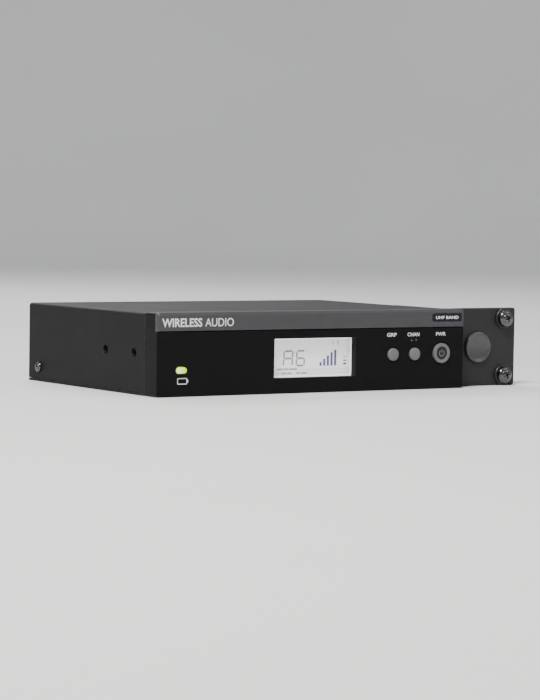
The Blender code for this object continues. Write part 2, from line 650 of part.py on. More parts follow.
def build_xlr():
    """Balanced output: flanged housing, insert, three pins and two screws."""
    at = (XLR[0], REAR, XLR[1])
    bore, wall = 8.1 * MM, 10.4 * MM
    bm = bmesh.new()
    add_prism(bm, rounded_outline((26 * MM, 31 * MM), 3 * MM), GAP, 2.1 * MM)
    housing = make("xlr_housing", bm, "black_plastic", at, "rear")
    bm = bmesh.new()
    add_turned(bm, rod(wall, -14 * MM, 2.7 * MM), 32)
    add(housing, tool("xlr_tube", bm, at, "rear"))
    bm = bmesh.new()
    add_turned(bm, rod(bore, -15 * MM, 4 * MM), 32)
    cut(housing, tool("xlr_bore", bm, at, "rear"))
    places = [(x, -z) for _, x, z in XLR_SCREWS]
    cut(housing, panel_holes("xlr_screw_holes", places, 1.5 * MM, -MM, 4 * MM, at, "rear"))
    pin_places = [(4.4 * MM * cos(a), 4.4 * MM * sin(a)) for a in (pi / 2, pi * 7 / 6, pi * 11 / 6)]
    insert = turned_piece("xlr_insert", "nylon", rod(bore - GAP, -12 * MM, -8.5 * MM), 32, at, "rear")
    cut(insert, panel_holes("xlr_pin_holes", pin_places, 1.5 * MM, -13 * MM, -8 * MM, at, "rear"))
    pin = [(0, -15.5 * MM), (1.2 * MM, -15.5 * MM), (1.2 * MM, -1.4 * MM), (0.7 * MM, -0.8 * MM),
           (0, -0.8 * MM)]
    for number, (x, z) in enumerate(pin_places, 1):
        turned_piece(f"xlr_pin_{number}", "nickel", pin, 14, (at[0] + x, REAR, at[2] - z), "rear")
    for name, x, z in XLR_SCREWS:
        turned_piece("xlr_screw_" + name, "dark_steel",
                     screw_profile(1.15 * MM, 2.4 * MM, 4.5 * MM, 1.5 * MM), 16,
                     (at[0] + x, REAR + 2.1 * MM + GAP, at[2] + z), "rear")


def blocked_connector(name, look, at, block, nose, bore, bore_depth, reach):
    """Board-mounted connector: a block behind the wall, a round nose through it and a bore."""
    bm = bmesh.new()
    add_block(bm, (-block[0], -block[1], -block[2]), (block[0], block[1], -SHEET - GAP))
    made = make(name, bm, look, at, "rear")
    bm = bmesh.new()
    add_turned(bm, rod(nose, -SHEET - 2 * MM, reach), 24)
    add(made, tool(name + "_nose", bm, at, "rear"))
    bm = bmesh.new()
    add_turned(bm, rod(bore, -bore_depth, reach + MM), 24)
    cut(made, tool(name + "_bore", bm, at, "rear"))
    return made


def build_jack():
    """6.35 mm output jack with its nut."""
    at = (JACK[0], REAR, JACK[1])
    nose = 4.7 * MM
    blocked_connector("jack_body", "black_plastic", at, (8 * MM, 7 * MM, 27 * MM), nose,
                      3.2 * MM, 24 * MM, 4.2 * MM)
    bm = bmesh.new()
    add_prism(bm, hexagon(13 * MM), GAP, 2.8 * MM)
    nut = make("jack_nut", bm, "nickel", at, "rear")
    cut(nut, panel_holes("jack_nut_bore", [(0, 0)], nose + GAP, 0, 5 * MM, at, "rear", 24))


def build_power_inlet():
    """Barrel inlet and its centre pin."""
    at = (DC[0], REAR, DC[1])
    inlet = blocked_connector("dc_jack", "black_plastic", at, (4.6 * MM, 5.6 * MM, 14 * MM),
                              4.2 * MM, 3.0 * MM, 9 * MM, 0.8 * MM)
    pin = 1.0 * MM
    cut(inlet, panel_holes("dc_pin_hole", [(0, 0)], pin + GAP, -15 * MM, -8 * MM, at, "rear"))
    turned_piece("dc_pin", "nickel", rod(pin, -14.5 * MM, -MM), 12, at, "rear")


def build_level_control():
    """Output level: fixed pot and nut, and the shaft and knob that turn on its axis."""
    at = (LEVEL[0], REAR, LEVEL[1])
    joint = bpy.data.objects.new("level_axis", None)
    joint.location = at
    bpy.context.scene.collection.objects.link(joint)
    shaft, nose = 2.0 * MM, 3.5 * MM
    blocked_connector("level_pot", "steel", at, (5.5 * MM, 6.5 * MM, 9.5 * MM), nose,
                      shaft + GAP, 7.5 * MM, 3 * MM)
    turned_piece("level_nut", "nickel", tube(nose + GAP, 5.4 * MM, GAP, 1.9 * MM), 12, at, "rear")
    tip, base = REACH - 1.5 * MM, 3.5 * MM
    turned_piece("level_shaft", "brass", rod(shaft, -7 * MM, tip), 16, (0, 0, 0), "rear", joint)
    ribs = 20
    outline = []
    for k in range(2 * ribs):
        radius = 6.0 * MM if k % 2 else 5.6 * MM
        outline.append((radius * cos(pi * k / ribs), radius * sin(pi * k / ribs)))
    bm = bmesh.new()
    add_prism(bm, outline, base, REACH)
    knob = make("level_knob", bm, "black_plastic", (0, 0, 0), "rear", joint)
    bore = panel_holes("knob_bore", [(0, 0)], shaft + GAP, 0, tip + GAP, at, "rear", 16)
    bm = bmesh.new()
    add_block(bm, (-0.4 * MM, -7 * MM, REACH - 0.4 * MM), (0.4 * MM, -MM, REACH + MM))
    cut(knob, bore, tool("knob_pointer", bm, at, "rear"))


def build_hook():
    """Tie-off hook: base on the rear wall, an arm outwards and a finger upwards; two studs."""
    at = (HOOK[0], REAR, HOOK[1])
    bm = bmesh.new()
    outline = [(GAP, -8 * MM), (7.6 * MM, -8 * MM), (8.4 * MM, -7.2 * MM), (8.4 * MM, 5 * MM),
               (6.6 * MM, 5 * MM), (6.6 * MM, -5.8 * MM), (2 * MM, -5.8 * MM), (2 * MM, 8 * MM),
               (GAP, 8 * MM)]
    add_prism(bm, outline, -5 * MM, 5 * MM)
    bm.transform(TURN_YZ)
    hook = make("cord_hook", bm, "black_plastic", at)
    bm = bmesh.new()
    for z in (-4.5 * MM, 4.5 * MM):
        add_turned(bm, rod(1.1 * MM, -3 * MM, MM), 10, (0, z))
    add(hook, tool("hook_studs", bm, at, "rear"))


# ---------------------------------------------------------------- rack ear

def build_ear():
    """Bracket: a plate on the rack rail and a flange along the housing's side."""
    plate_size = (EAR_OUTER - EAR_INNER, BODY_HEIGHT)
    centre = ((EAR_OUTER + EAR_INNER) / 2, BODY_HEIGHT / 2)
    at = (0, FRONT + EAR_SETBACK, 0)
    bm = bmesh.new()
    add_prism(bm, rounded_outline(plate_size, 1.2 * MM, 2, centre), -EAR_THICK, 0)
    edges = [e for e in bm.edges if all(v.co.z > -MM for v in e.verts)]
    bmesh.ops.bevel(bm, geom=edges, offset=0.6 * MM, segments=2, profile=0.5, affect="EDGES")
    ear = make("rack_ear", bm, "ear_paint", at, "front")
    bm = bmesh.new()
    add_block(bm, (EAR_INNER, MM, 0.6 * MM), (EAR_INNER + EAR_FLANGE, EAR_LENGTH, 43 * MM))
    add(ear, tool("ear_flange", bm, at))
    bm = bmesh.new()
    add_turned(bm, rod(PLUG_HOLE, -EAR_THICK - MM, MM), 28, PLUG)
    for _, z in RACK_HOLES:
        outline = rounded_outline(SLOT_SIZE, SLOT_SIZE[1] / 2.01, 4, (RACK_HOLE_X, z))
        add_prism(bm, outline, -EAR_THICK - MM, MM)
    cut(ear, tool("ear_holes", bm, at, "front"))
    bm = bmesh.new()
    sink = [(0, -4 * MM), (2.4 * MM, -4 * MM), (2.4 * MM, -1.9 * MM), (4.9 * MM, 0.6 * MM),
            (0, 0.6 * MM)]
    for _, y in BRACKET_SCREWS:
        add_turned(bm, sink, 20, (-BRACKET_Z, y))
    cut(ear, tool("ear_sinks", bm, (EAR_INNER + EAR_FLANGE, 0, 0), "right"))


def build_ear_screws():
    """Countersunk screws through the ear's flange into the tray's collars."""
    profile = [(0, -9 * MM), (1.5 * MM, -9 * MM), (1.5 * MM, -1.9 * MM), (1.9 * MM, -1.9 * MM),
               (3.6 * MM, -0.2 * MM), (3.6 * MM, 0), (1.1 * MM, 0), (1.1 * MM, -1.2 * MM),
               (0, -1.2 * MM)]
    for name, y in BRACKET_SCREWS:
        turned_piece("ear_screw_" + name, "dark_steel", profile, 20,
                     (EAR_INNER + EAR_FLANGE, y, BRACKET_Z), "right")


def build_plug():
    """Hole plug: dished cap with a raised rim and a hollow stem with a snap ring."""
    cap, rim = 8.6 * MM, 7.5 * MM
    stem, hollow = PLUG_HOLE - GAP, 5.4 * MM
    behind = -EAR_THICK - GAP
    profile = [(0, 0.2 * MM), (hollow, 0.2 * MM), (hollow, -7.5 * MM), (stem - 0.5 * MM, -7.5 * MM),
               (stem + 0.5 * MM, behind - 0.8 * MM), (stem + 0.5 * MM, behind), (stem, behind),
               (stem, GAP), (cap, GAP), (cap, 1.3 * MM), (cap - 0.5 * MM, 1.8 * MM),
               (rim, 1.8 * MM), (rim - 0.4 * MM, 1.2 * MM), (0, 1.5 * MM)]
    at = (PLUG[0], FRONT + EAR_SETBACK, PLUG[1])
    turned_piece("ear_plug", "black_plastic", profile, 28, at, "front")


def build_rack_screws():
    """Two rack screws with their washers."""
    plate = FRONT + EAR_SETBACK
    washer = 1.3 * MM
    for name, z in RACK_HOLES:
        turned_piece("rack_washer_" + name, "nylon", tube(2.8 * MM, 5.7 * MM, GAP, GAP + washer), 24,
                     (RACK_HOLE_X, plate, z), "front")
        turned_piece("rack_screw_" + name, "dark_steel",
                     screw_profile(2.4 * MM, 4.7 * MM, 16 * MM, 3.2 * MM), 24,
                     (RACK_HOLE_X, plate - 2 * GAP - washer, z), "front")


def build():
    for old in list(bpy.data.objects):
        bpy.data.objects.remove(old)
    build_bezel()
    build_strip()
    build_display()
    for button in BUTTONS:
        build_button(*button)
    build_lamp()
    build_tray()
    build_cover()
    build_main_board()
    build_internals()
    for antenna in ANTENNAS:
        build_antenna(*antenna)
    build_xlr()
    build_jack()
    build_power_inlet()
    build_level_control()
    build_hook()
    build_ear()
    build_ear_screws()
    build_plug()
    build_rack_screws()


build()
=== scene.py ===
"""Looks of the half-rack wireless receiver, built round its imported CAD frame."""
import json
from math import atan2, cos, pi, radians, sin, tan

import bmesh
import bpy
from mathutils import Matrix, Vector


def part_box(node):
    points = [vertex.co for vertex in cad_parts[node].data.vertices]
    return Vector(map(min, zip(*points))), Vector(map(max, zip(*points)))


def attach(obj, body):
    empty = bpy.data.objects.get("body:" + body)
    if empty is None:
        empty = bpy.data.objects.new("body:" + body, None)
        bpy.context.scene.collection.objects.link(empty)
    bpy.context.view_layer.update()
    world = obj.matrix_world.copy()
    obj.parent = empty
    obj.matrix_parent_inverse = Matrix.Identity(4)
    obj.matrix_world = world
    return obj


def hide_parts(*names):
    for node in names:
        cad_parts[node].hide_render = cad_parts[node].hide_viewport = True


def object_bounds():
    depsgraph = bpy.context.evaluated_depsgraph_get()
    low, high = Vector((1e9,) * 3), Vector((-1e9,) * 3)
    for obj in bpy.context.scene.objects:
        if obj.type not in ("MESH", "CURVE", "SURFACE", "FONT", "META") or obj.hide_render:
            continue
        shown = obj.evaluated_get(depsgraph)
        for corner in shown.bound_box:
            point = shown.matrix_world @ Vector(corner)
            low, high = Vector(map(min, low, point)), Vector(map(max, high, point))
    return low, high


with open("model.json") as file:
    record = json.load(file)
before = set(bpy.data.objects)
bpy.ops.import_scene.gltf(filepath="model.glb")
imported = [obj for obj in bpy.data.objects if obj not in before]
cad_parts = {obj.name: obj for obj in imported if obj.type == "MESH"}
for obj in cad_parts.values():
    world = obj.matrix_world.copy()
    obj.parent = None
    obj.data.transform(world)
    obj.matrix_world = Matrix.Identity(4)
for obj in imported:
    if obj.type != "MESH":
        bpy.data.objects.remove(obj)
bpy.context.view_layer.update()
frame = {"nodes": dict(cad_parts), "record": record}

MM = 0.001
BODY = "receiver"

# ---------------------------------------------------------------- places taken from the CAD frame

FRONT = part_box("front_bezel")[0].y          # front face
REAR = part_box("chassis_tray")[1].y          # rear wall
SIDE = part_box("front_bezel")[1].x
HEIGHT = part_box("front_bezel")[1].z
STRIP_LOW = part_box("trim_strip")[0].z
EAR_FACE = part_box("rack_ear")[0].y          # front of the ear's flange
SLOTS = {part["node"]: part["material_slot"] for part in frame["record"]["subparts"]}

# ---------------------------------------------------------------- shared sizes

GAP = 0.3 * MM                    # space between separate pieces
PRINT = 0.02 * MM                 # half thickness of printed ink
PROUD = 1 * MM                    # how far a cutter stands out of the face it cuts
WINDOW = (52.3 * MM, 20.8 * MM)   # opening over the display
WINDOW_DEPTH = 4.4 * MM
BEZEL_DEPTH = 12.1 * MM
FACE = 2.6 * MM                   # thickness of the bezel's front wall
LAMP = (6.1 * MM, 3.1 * MM)
EAR_SIDE = 2.4 * MM               # thickness of the ear's part along the housing
BUTTONS = ("group", "channel", "power")
KNOB_RIBS = 20
SHARP = radians(32)               # faces that meet at more than this keep a sharp edge

TURNS = {
    "up": Matrix.Identity(4),
    "front": Matrix.Rotation(radians(90), 4, "X"),
    "rear": Matrix.Rotation(radians(-90), 4, "X"),
    "rear_up": Matrix.Rotation(pi, 4, "Z") @ Matrix.Rotation(radians(90), 4, "X"),
    "right": Matrix.Rotation(radians(90), 4, "Y"),
    "left": Matrix.Rotation(radians(-90), 4, "Y"),
    "sideways": Matrix(((0, 0, 1, 0), (1, 0, 0, 0), (0, 1, 0, 0), (0, 0, 0, 1))),
}

# ---------------------------------------------------------------- camera and room

AZIMUTH = -33.0                   # the camera stands to the left of the front
ELEVATION = 3.3
DISTANCE = 1.43
ROLL = 0.9
LENS = 134.0
AIM = Vector((2 * MM, -22 * MM, 20 * MM))


def show(name, data):
    """New object in the scene for a mesh, a curve, a lamp or a camera."""
    made = bpy.data.objects.new(name, data)
    bpy.context.scene.collection.objects.link(made)
    return made


def add_camera():
    a, e = radians(AZIMUTH), radians(ELEVATION)
    away = Vector((sin(a) * cos(e), -cos(a) * cos(e), sin(e)))
    data = bpy.data.cameras.new("camera")
    data.lens = LENS
    data.sensor_width = 36
    data.clip_start = 0.05
    made = show("camera", data)
    made.location = AIM + away * DISTANCE
    look = (-away).to_track_quat("-Z", "Y")
    made.rotation_euler = (look.to_matrix() @ Matrix.Rotation(radians(ROLL), 3, "Z")).to_euler()
    bpy.context.scene.camera = made


def add_light(name, place, size, power, colour=(1, 1, 1)):
    """Soft rectangular light aimed at the receiver."""
    data = bpy.data.lights.new(name, "AREA")
    data.shape = "RECTANGLE"
    data.size, data.size_y = size
    data.energy = power
    data.color = colour
    made = show(name, data)
    made.location = place
    made.rotation_euler = (AIM - Vector(place)).to_track_quat("-Z", "Y").to_euler()


def add_room():
    """Pale floor that curves up into a round wall, soft lights and a pale sky above."""
    flat, bend, top = 2.4, 1.0, 3.4
    profile = [(0.0, 0.0), (0.6, 0.0), (flat, 0.0)]
    profile += [(flat + bend * sin(pi / 2 * k / 12), bend - bend * cos(pi / 2 * k / 12))
                for k in range(1, 13)]
    profile += [(flat + bend, top)]
    bm = bmesh.new()
    steps = 96
    rings = [[bm.verts.new((0, 0, 0))]]
    rings += [[bm.verts.new((r * cos(2 * pi * k / steps), r * sin(2 * pi * k / steps), z))
               for k in range(steps)] for r, z in profile[1:]]
    for k in range(steps):
        after = (k + 1) % steps
        bm.faces.new((rings[0][0], rings[1][k], rings[1][after]))
        for inner, outer in zip(rings[1:], rings[2:]):
            bm.faces.new((inner[k], outer[k], outer[after], inner[after]))
    floor = finish_mesh("floor", bm, floor_paint())
    floor.location.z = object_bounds()[0][2] - 0.05 * MM
    world = bpy.data.worlds.new("surrounding")
    world.use_nodes = True
    background = world.node_tree.nodes["Background"]
    background.inputs["Color"].default_value = (0.93, 0.95, 1.0, 1)
    background.inputs["Strength"].default_value = 0.85
    bpy.context.scene.world = world
    add_light("key", (-0.75, -0.62, 1.3), (0.5, 0.35), 36, (1.0, 0.985, 0.96))
    add_light("fill", (1.2, -1.3, 0.9), (0.9, 0.6), 4)
    add_light("back", (0.2, 1.3, 1.1), (1.1, 0.5), 14)


def floor_paint():
    n = Paint("floor_paint", (0.7, 0.7, 0.69), 0.8)
    tone = n.mix(n.remap(n.noise(400 * MM, 3), 0.3, 0.7, 0, 1), (0.68, 0.68, 0.67), (0.72, 0.72, 0.71))
    n.shade(Base_Color=tone)
    return n.material


# ---------------------------------------------------------------- materials

class Paint:
    """A material being built: its shader, and short names for adding nodes."""

    def __init__(self, name, colour, roughness, metallic=0.0):
        self.material = bpy.data.materials.new(name)
        self.material.use_nodes = True
        self.tree = self.material.node_tree
        self.shader = self.tree.nodes["Principled BSDF"]
        self.place = self.add("ShaderNodeTexCoord").outputs["Object"]
        self.shade(Base_Color=colour, Roughness=roughness, Metallic=metallic)

    def put(self, value, socket):
        """Link an output to a socket, or set the socket to a number or a colour."""
        if isinstance(value, bpy.types.NodeSocket):
            self.tree.links.new(value, socket)
        else:
            socket.default_value = (*value, 1) if socket.type == "RGBA" else value

    def fill(self, node, values):
        """Put values into named inputs; an underscore in a name stands for a space."""
        for name, value in values.items():
            self.put(value, node.inputs[name.replace("_", " ")])

    def shade(self, **values):
        self.fill(self.shader, values)

    def add(self, kind, **values):
        node = self.tree.nodes.new(kind)
        self.fill(node, values)
        return node

    def noise(self, size, detail=3.0, stretch=(1, 1, 1)):
        """Noise whose features measure about size, in metres."""
        mapping = self.add("ShaderNodeMapping", Scale=stretch, Vector=self.place)
        node = self.add("ShaderNodeTexNoise", Scale=1 / size, Detail=detail,
                        Vector=mapping.outputs["Vector"])
        return node.outputs["Fac"]

    def remap(self, value, low, high, to_low, to_high):
        node = self.add("ShaderNodeMapRange", Value=value)
        for socket, number in zip(node.inputs[1:5], (low, high, to_low, to_high)):
            socket.default_value = number
        return node.outputs[0]

    def maths(self, operation, first, second):
        node = self.add("ShaderNodeMath")
        node.operation = operation
        for socket, value in zip(node.inputs, (first, second)):
            self.put(value, socket)
        return node.outputs[0]

    def product(self, first, second, third):
        return self.maths("MULTIPLY", self.maths("MULTIPLY", first, second), third)

    def mix(self, factor, first, second):
        """Colour between two colours, by a factor."""
        node = self.add("ShaderNodeMix")
        node.data_type = "RGBA"
        sockets = [s for s in node.inputs if s.type == "RGBA"]
        for socket, value in zip(sockets, (first, second)):
            self.put(value, socket)
        self.put(factor, node.inputs[0])
        return [s for s in node.outputs if s.type == "RGBA"][0]

    def edges(self, reach):
        """1 along sharp edges, 0 on flats, worked out from a softened normal."""
        bevel = self.add("ShaderNodeBevel", Radius=reach)
        bevel.samples = 4
        geometry = self.add("ShaderNodeNewGeometry")
        dot = self.add("ShaderNodeVectorMath")
        dot.operation = "DOT_PRODUCT"
        self.put(bevel.outputs["Normal"], dot.inputs[0])
        self.put(geometry.outputs["Normal"], dot.inputs[1])
        return self.remap(dot.outputs["Value"], 0.99, 0.80, 0.0, 1.0)

    def upward(self):
        """1 on faces that look up, where dust settles."""
        geometry = self.add("ShaderNodeNewGeometry")
        split = self.add("ShaderNodeSeparateXYZ", Vector=geometry.outputs["Normal"])
        return self.remap(split.outputs["Z"], 0.4, 0.95, 0.0, 1.0)

    def bump(self, height, distance):
        return self.add("ShaderNodeBump", Strength=1.0, Distance=distance,
                        Height=height).outputs["Normal"]


def textured(name, colour, roughness, metallic=0.0, grain=0.3, depth=0.02, edge_rub_and_highlight_tone=None, wear=0.35,
             dust=0.06, spread=0.12, brushed=(1, 1, 1), coat=0.0, gloss=0.5):
    """Finish whose colour and roughness vary, with edges lightened partly as wear and partly as a painted
    highlight, and a little dust.

    The grain's size and depth are in millimetres.
    """
    n = Paint(name, colour, roughness, metallic)
    clouds = n.noise(9 * MM, 3)
    fine = n.noise(grain * MM, 2, brushed)
    darker = tuple(c * (1 - spread) for c in colour)
    lighter = tuple(c * (1 + spread) for c in colour)
    tone = n.mix(n.remap(clouds, 0.3, 0.7, 0, 1), darker, lighter)
    tone = n.mix(n.remap(fine, 0.35, 0.75, 0, 0.35), tone, tuple(min(1, c * 1.5) for c in colour))
    # Edge lightening: partly wear, partly a painted highlight along sharp edges.
    if edge_rub_and_highlight_tone:
        patchy = n.remap(n.noise(2.5 * MM, 3), 0.42, 0.62, 0.25, 1.0)
        tone = n.mix(n.product(n.edges(0.45 * MM), patchy, wear), tone, edge_rub_and_highlight_tone)
    if dust:
        flecks = n.remap(n.noise(0.7 * MM, 4), 0.5, 0.72, 0.0, 1.0)
        tone = n.mix(n.product(flecks, n.upward(), dust), tone, (0.45, 0.44, 0.42))
    smudges = n.remap(n.noise(22 * MM, 5, (1, 0.6, 1.6)), 0.3, 0.7, roughness * 0.96, roughness * 1.04)
    rough = n.maths("ADD", smudges, n.remap(fine, 0.3, 0.7, -0.02, 0.03))
    n.shade(Base_Color=tone, Roughness=rough, Normal=n.bump(fine, depth * MM), Specular_IOR_Level=gloss)
    if coat:
        n.shade(Coat_Weight=coat, Coat_Roughness=0.12)
    return n.material


def glowing(name, colour, strength, size, uneven, roughness):
    """Lit plastic or glass whose glow varies softly."""
    n = Paint(name, colour, roughness)
    dim = tuple(c * (1 - uneven) for c in colour)
    tone = n.mix(n.remap(n.noise(size, 2), 0.3, 0.7, 0, 1), dim, colour)
    rough = n.remap(n.noise(3 * MM, 3), 0.3, 0.7, roughness * 0.8, roughness * 1.2)
    n.shade(Base_Color=tone, Roughness=rough, Emission_Color=tone, Emission_Strength=strength,
            Coat_Weight=0.4, Coat_Roughness=0.05)
    return n.material


def lamp_glow(name, near, far, strength):
    """Light pipe, paler at its left end where the lamp sits behind it."""
    n = Paint(name, far, 0.28)
    split = n.add("ShaderNodeSeparateXYZ", Vector=n.place)
    left, right = (corner.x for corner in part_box("led_light_pipe"))
    along = n.remap(split.outputs["X"], left + 1.5 * MM, right - 2 * MM, 0, 1)
    uneven = n.maths("ADD", along, n.remap(n.noise(1.5 * MM, 2), 0.3, 0.7, -0.12, 0.12))
    tone = n.mix(uneven, near, far)
    n.shade(Base_Color=tone, Normal=n.bump(n.noise(0.5 * MM, 2), 0.004 * MM), Emission_Color=tone,
            Emission_Strength=strength, Coat_Weight=0.4, Coat_Roughness=0.05)
    return n.material


def printed(name, colour, glow=0.0):
    """Screen-printed ink, a little uneven."""
    n = Paint(name, colour, 0.55)
    patchy = n.remap(n.noise(0.35 * MM, 3), 0.3, 0.7, 0, 1)
    tone = n.mix(patchy, tuple(c * 0.8 for c in colour), colour)
    n.shade(Base_Color=tone, Normal=n.bump(patchy, 0.004 * MM))
    if glow:
        n.shade(Emission_Color=tone, Emission_Strength=glow)
    return n.material


def make_materials():
    # Grey for lightened edges on the cover and ear: bare metal where worn, and a painted highlight.
    bare_metal_and_highlight_grey = (0.32, 0.32, 0.33)
    return {
        "bezel": textured("bezel_moulding", (0.0035, 0.0035, 0.004), 0.4, grain=0.16, depth=0.006,
                          edge_rub_and_highlight_tone=(0.03, 0.03, 0.032), wear=0.5, dust=0.03, gloss=0.10),
        "strip": textured("strip_paint", (0.052, 0.052, 0.056), 0.4, 0.4, grain=0.12, depth=0.004,
                          edge_rub_and_highlight_tone=(0.22, 0.22, 0.23), wear=0.6, dust=0.03, spread=0.06),
        "cover": textured("cover_powder_coat", (0.011, 0.011, 0.012), 0.58, grain=0.42, depth=0.06,
                          edge_rub_and_highlight_tone=bare_metal_and_highlight_grey, wear=0.28, dust=0.03, gloss=0.14),
        "ear": textured("ear_powder_coat", (0.017, 0.017, 0.0185), 0.5, grain=0.38, depth=0.04,
                        edge_rub_and_highlight_tone=bare_metal_and_highlight_grey, wear=0.4, dust=0.03, gloss=0.28),
        # The plug's strong edge lightening paints the highlight round its rim.
        "plug": textured("plug_moulding", (0.036, 0.036, 0.038), 0.22, grain=0.2, depth=0.004,
                         edge_rub_and_highlight_tone=(0.25, 0.25, 0.25), wear=0.9, gloss=0.7),
        "button": textured("button_moulding", (0.112, 0.112, 0.116), 0.45, grain=0.18, depth=0.01,
                           edge_rub_and_highlight_tone=(0.25, 0.25, 0.26), wear=0.4, dust=0.05),
        "inlay": textured("button_inlay", (0.012, 0.012, 0.013), 0.35, grain=0.2, depth=0.006,
                          dust=0.0, gloss=0.3),
        "label": textured("label_film", (0.003, 0.003, 0.010), 0.28, grain=0.5, depth=0.003,
                          dust=0.0, gloss=0.3),
        "glass": glowing("display_glow", (0.80, 0.81, 0.83), 0.62, 18 * MM, 0.05, 0.2),
        # Brighter glow for a thin frame round the display window: a painted highlight line along its edges.
        "glass_rim": glowing("display_edge_highlight_glow", (0.95, 0.95, 0.97), 1.05, 12 * MM, 0.03, 0.2),
        "lamp": lamp_glow("lamp_glow", (0.74, 0.90, 0.22), (0.42, 0.60, 0.02), 1.15),
        "segment": printed("segment_grey", (0.31, 0.31, 0.34), 0.1),
        "segment_blue": printed("segment_blue", (0.105, 0.112, 0.28), 0.2),
        "segment_faint": printed("segment_faint", (0.46, 0.47, 0.52), 0.2),
        "ink": printed("white_ink", (0.78, 0.78, 0.78)),
        "ink_dim": printed("grey_ink", (0.16, 0.16, 0.165)),
        "screw": textured("black_zinc", (0.11, 0.11, 0.115), 0.15, 1.0, grain=0.25, depth=0.003,
                          edge_rub_and_highlight_tone=(0.55, 0.54, 0.52), wear=0.6, dust=0.0),
        "zinc": textured("bright_zinc", (0.52, 0.52, 0.53), 0.33, 1.0, depth=0.006, dust=0.0),
        "nickel": textured("nickel_plate", (0.62, 0.60, 0.55), 0.24, 1.0, grain=0.22, depth=0.004,
                           dust=0.0, brushed=(1, 1, 8)),
        "brass": textured("turned_brass", (0.72, 0.52, 0.2), 0.3, 1.0, grain=0.2, depth=0.004,
                          dust=0.0),
        "connector": textured("connector_moulding", (0.012, 0.012, 0.012), 0.4, grain=0.2,
                              depth=0.012, edge_rub_and_highlight_tone=(0.07, 0.07, 0.07), wear=0.4, dust=0.04),
        "nylon": textured("black_nylon", (0.009, 0.009, 0.009), 0.42, grain=0.25, depth=0.008,
                          edge_rub_and_highlight_tone=(0.06, 0.06, 0.06), wear=0.4, dust=0.02),
        "white": textured("white_moulding", (0.74, 0.74, 0.71), 0.38, depth=0.006, dust=0.0,
                          spread=0.04),
        "board": textured("solder_mask", (0.015, 0.11, 0.045), 0.35, grain=0.5, depth=0.01,
                          dust=0.0, coat=0.2),
    }


# ---------------------------------------------------------------- mesh building

def mm(*points):
    """Points given in millimetres, as metres."""
    return [tuple(value * MM for value in point) for point in points]


def finish_mesh(name, bm, material):
    """Turn a bmesh into a smooth-shaded object with sharp edges kept sharp."""
    bmesh.ops.recalc_face_normals(bm, faces=bm.faces)
    mesh = bpy.data.meshes.new(name)
    bm.to_mesh(mesh)
    bm.free()
    made = show(name, mesh)
    if material:
        mesh.materials.append(material)
    shade(made)
    return made


def shade(made):
    made.data.shade_smooth()
    made.data.set_sharp_from_angle(angle=SHARP)
    normals = made.modifiers.new("normals", "WEIGHTED_NORMAL")
    normals.keep_sharp = True


def formed(name, material, centre, facing, add, *measures):
    """Object whose mesh is made by one of the add functions, turned and put in its place."""
    bm = bmesh.new()
    add(bm, *measures)
    bm.transform(Matrix.Translation(centre) @ TURNS[facing])
    return finish_mesh(name, bm, material)


def rounded(points, steps=5):
    """Closed outline whose corners (x, y, radius) are rounded by arcs."""
    outline = []
    count = len(points)
    for k, (x, y, *radius) in enumerate(points):
        corner = Vector((x, y))
        if not radius or not radius[0]:
            outline.append((x, y))
            continue
        before = Vector(points[k - 1][:2]) - corner
        after = Vector(points[(k + 1) % count][:2]) - corner
        before.normalize()
        after.normalize()
        half = before.angle(after) / 2
        centre = corner + (before + after).normalized() * (radius[0] / sin(half))
        start = corner + before * (radius[0] / tan(half)) - centre
        end = corner + after * (radius[0] / tan(half)) - centre
        first = atan2(start.y, start.x)
        sweep = (atan2(end.y, end.x) - first + pi) % (2 * pi) - pi
        for step in range(steps + 1):
            angle = first + sweep * step / steps
            outline.append((centre.x + radius[0] * cos(angle), centre.y + radius[0] * sin(angle)))
    return outline


def box_outline(size, radius, centre=(0, 0), steps=6):
    half_x, half_y = size[0] / 2, size[1] / 2
    corners = ((1, 1), (-1, 1), (-1, -1), (1, -1))
    return rounded([(centre[0] + sx * half_x, centre[1] + sy * half_y, radius)
                    for sx, sy in corners], steps)


def bar(x0, z0, x1, z1):
    return [(x0, z0), (x1, z0), (x1, z1), (x0, z1)]


def raised(outline, height):
    return [(x, y, height) for x, y in outline]


def arc(x, y, radius, steps, first=0):
    """Quarter circle round (x, y), from straight out to straight up."""
    return [(x + radius * cos(pi / 2 * k / steps), y + radius * sin(pi / 2 * k / steps))
            for k in range(first, steps + 1)]


def quarter(edge, steps=5):
    """Rounded edge at a face: (height, distance from the wall) up to the face at height 0."""
    return [(-edge + edge * sin(pi / 2 * k / steps), edge - edge * cos(pi / 2 * k / steps))
            for k in range(steps + 1)]


def dome(radius, low, edge, high, steps=8):
    """Half profile of a button or screw head: (radius, height) up to a softly domed top."""
    flat = radius - edge
    points = arc(flat, low - edge, edge, steps)
    points += [(flat * cos(pi / 2 * k / steps), low + (high - low) * sin(pi / 2 * k / steps))
               for k in range(1, steps)]
    return [*points, (0, high)]


def add_turned(bm, profile, steps, places=((0, 0),)):
    """Add solids turned about lines along Z; the profile is a closed loop of (radius, height)."""
    for x, y in places:
        rings = []
        for radius, height in profile:
            if radius < 1e-9:
                rings.append([bm.verts.new((x, y, height))])
                continue
            rings.append([bm.verts.new((x + radius * cos(2 * pi * k / steps),
                                        y + radius * sin(2 * pi * k / steps), height))
                          for k in range(steps)])
        for ring, following in zip(rings, rings[1:] + rings[:1]):
            if len(ring) == 1 and len(following) == 1:
                continue
            for k in range(steps):
                after = (k + 1) % steps
                corners = [ring[k], ring[after]] if len(ring) > 1 else [ring[0]]
                corners += [following[after], following[k]] if len(following) > 1 else [following[0]]
                bm.faces.new(corners)


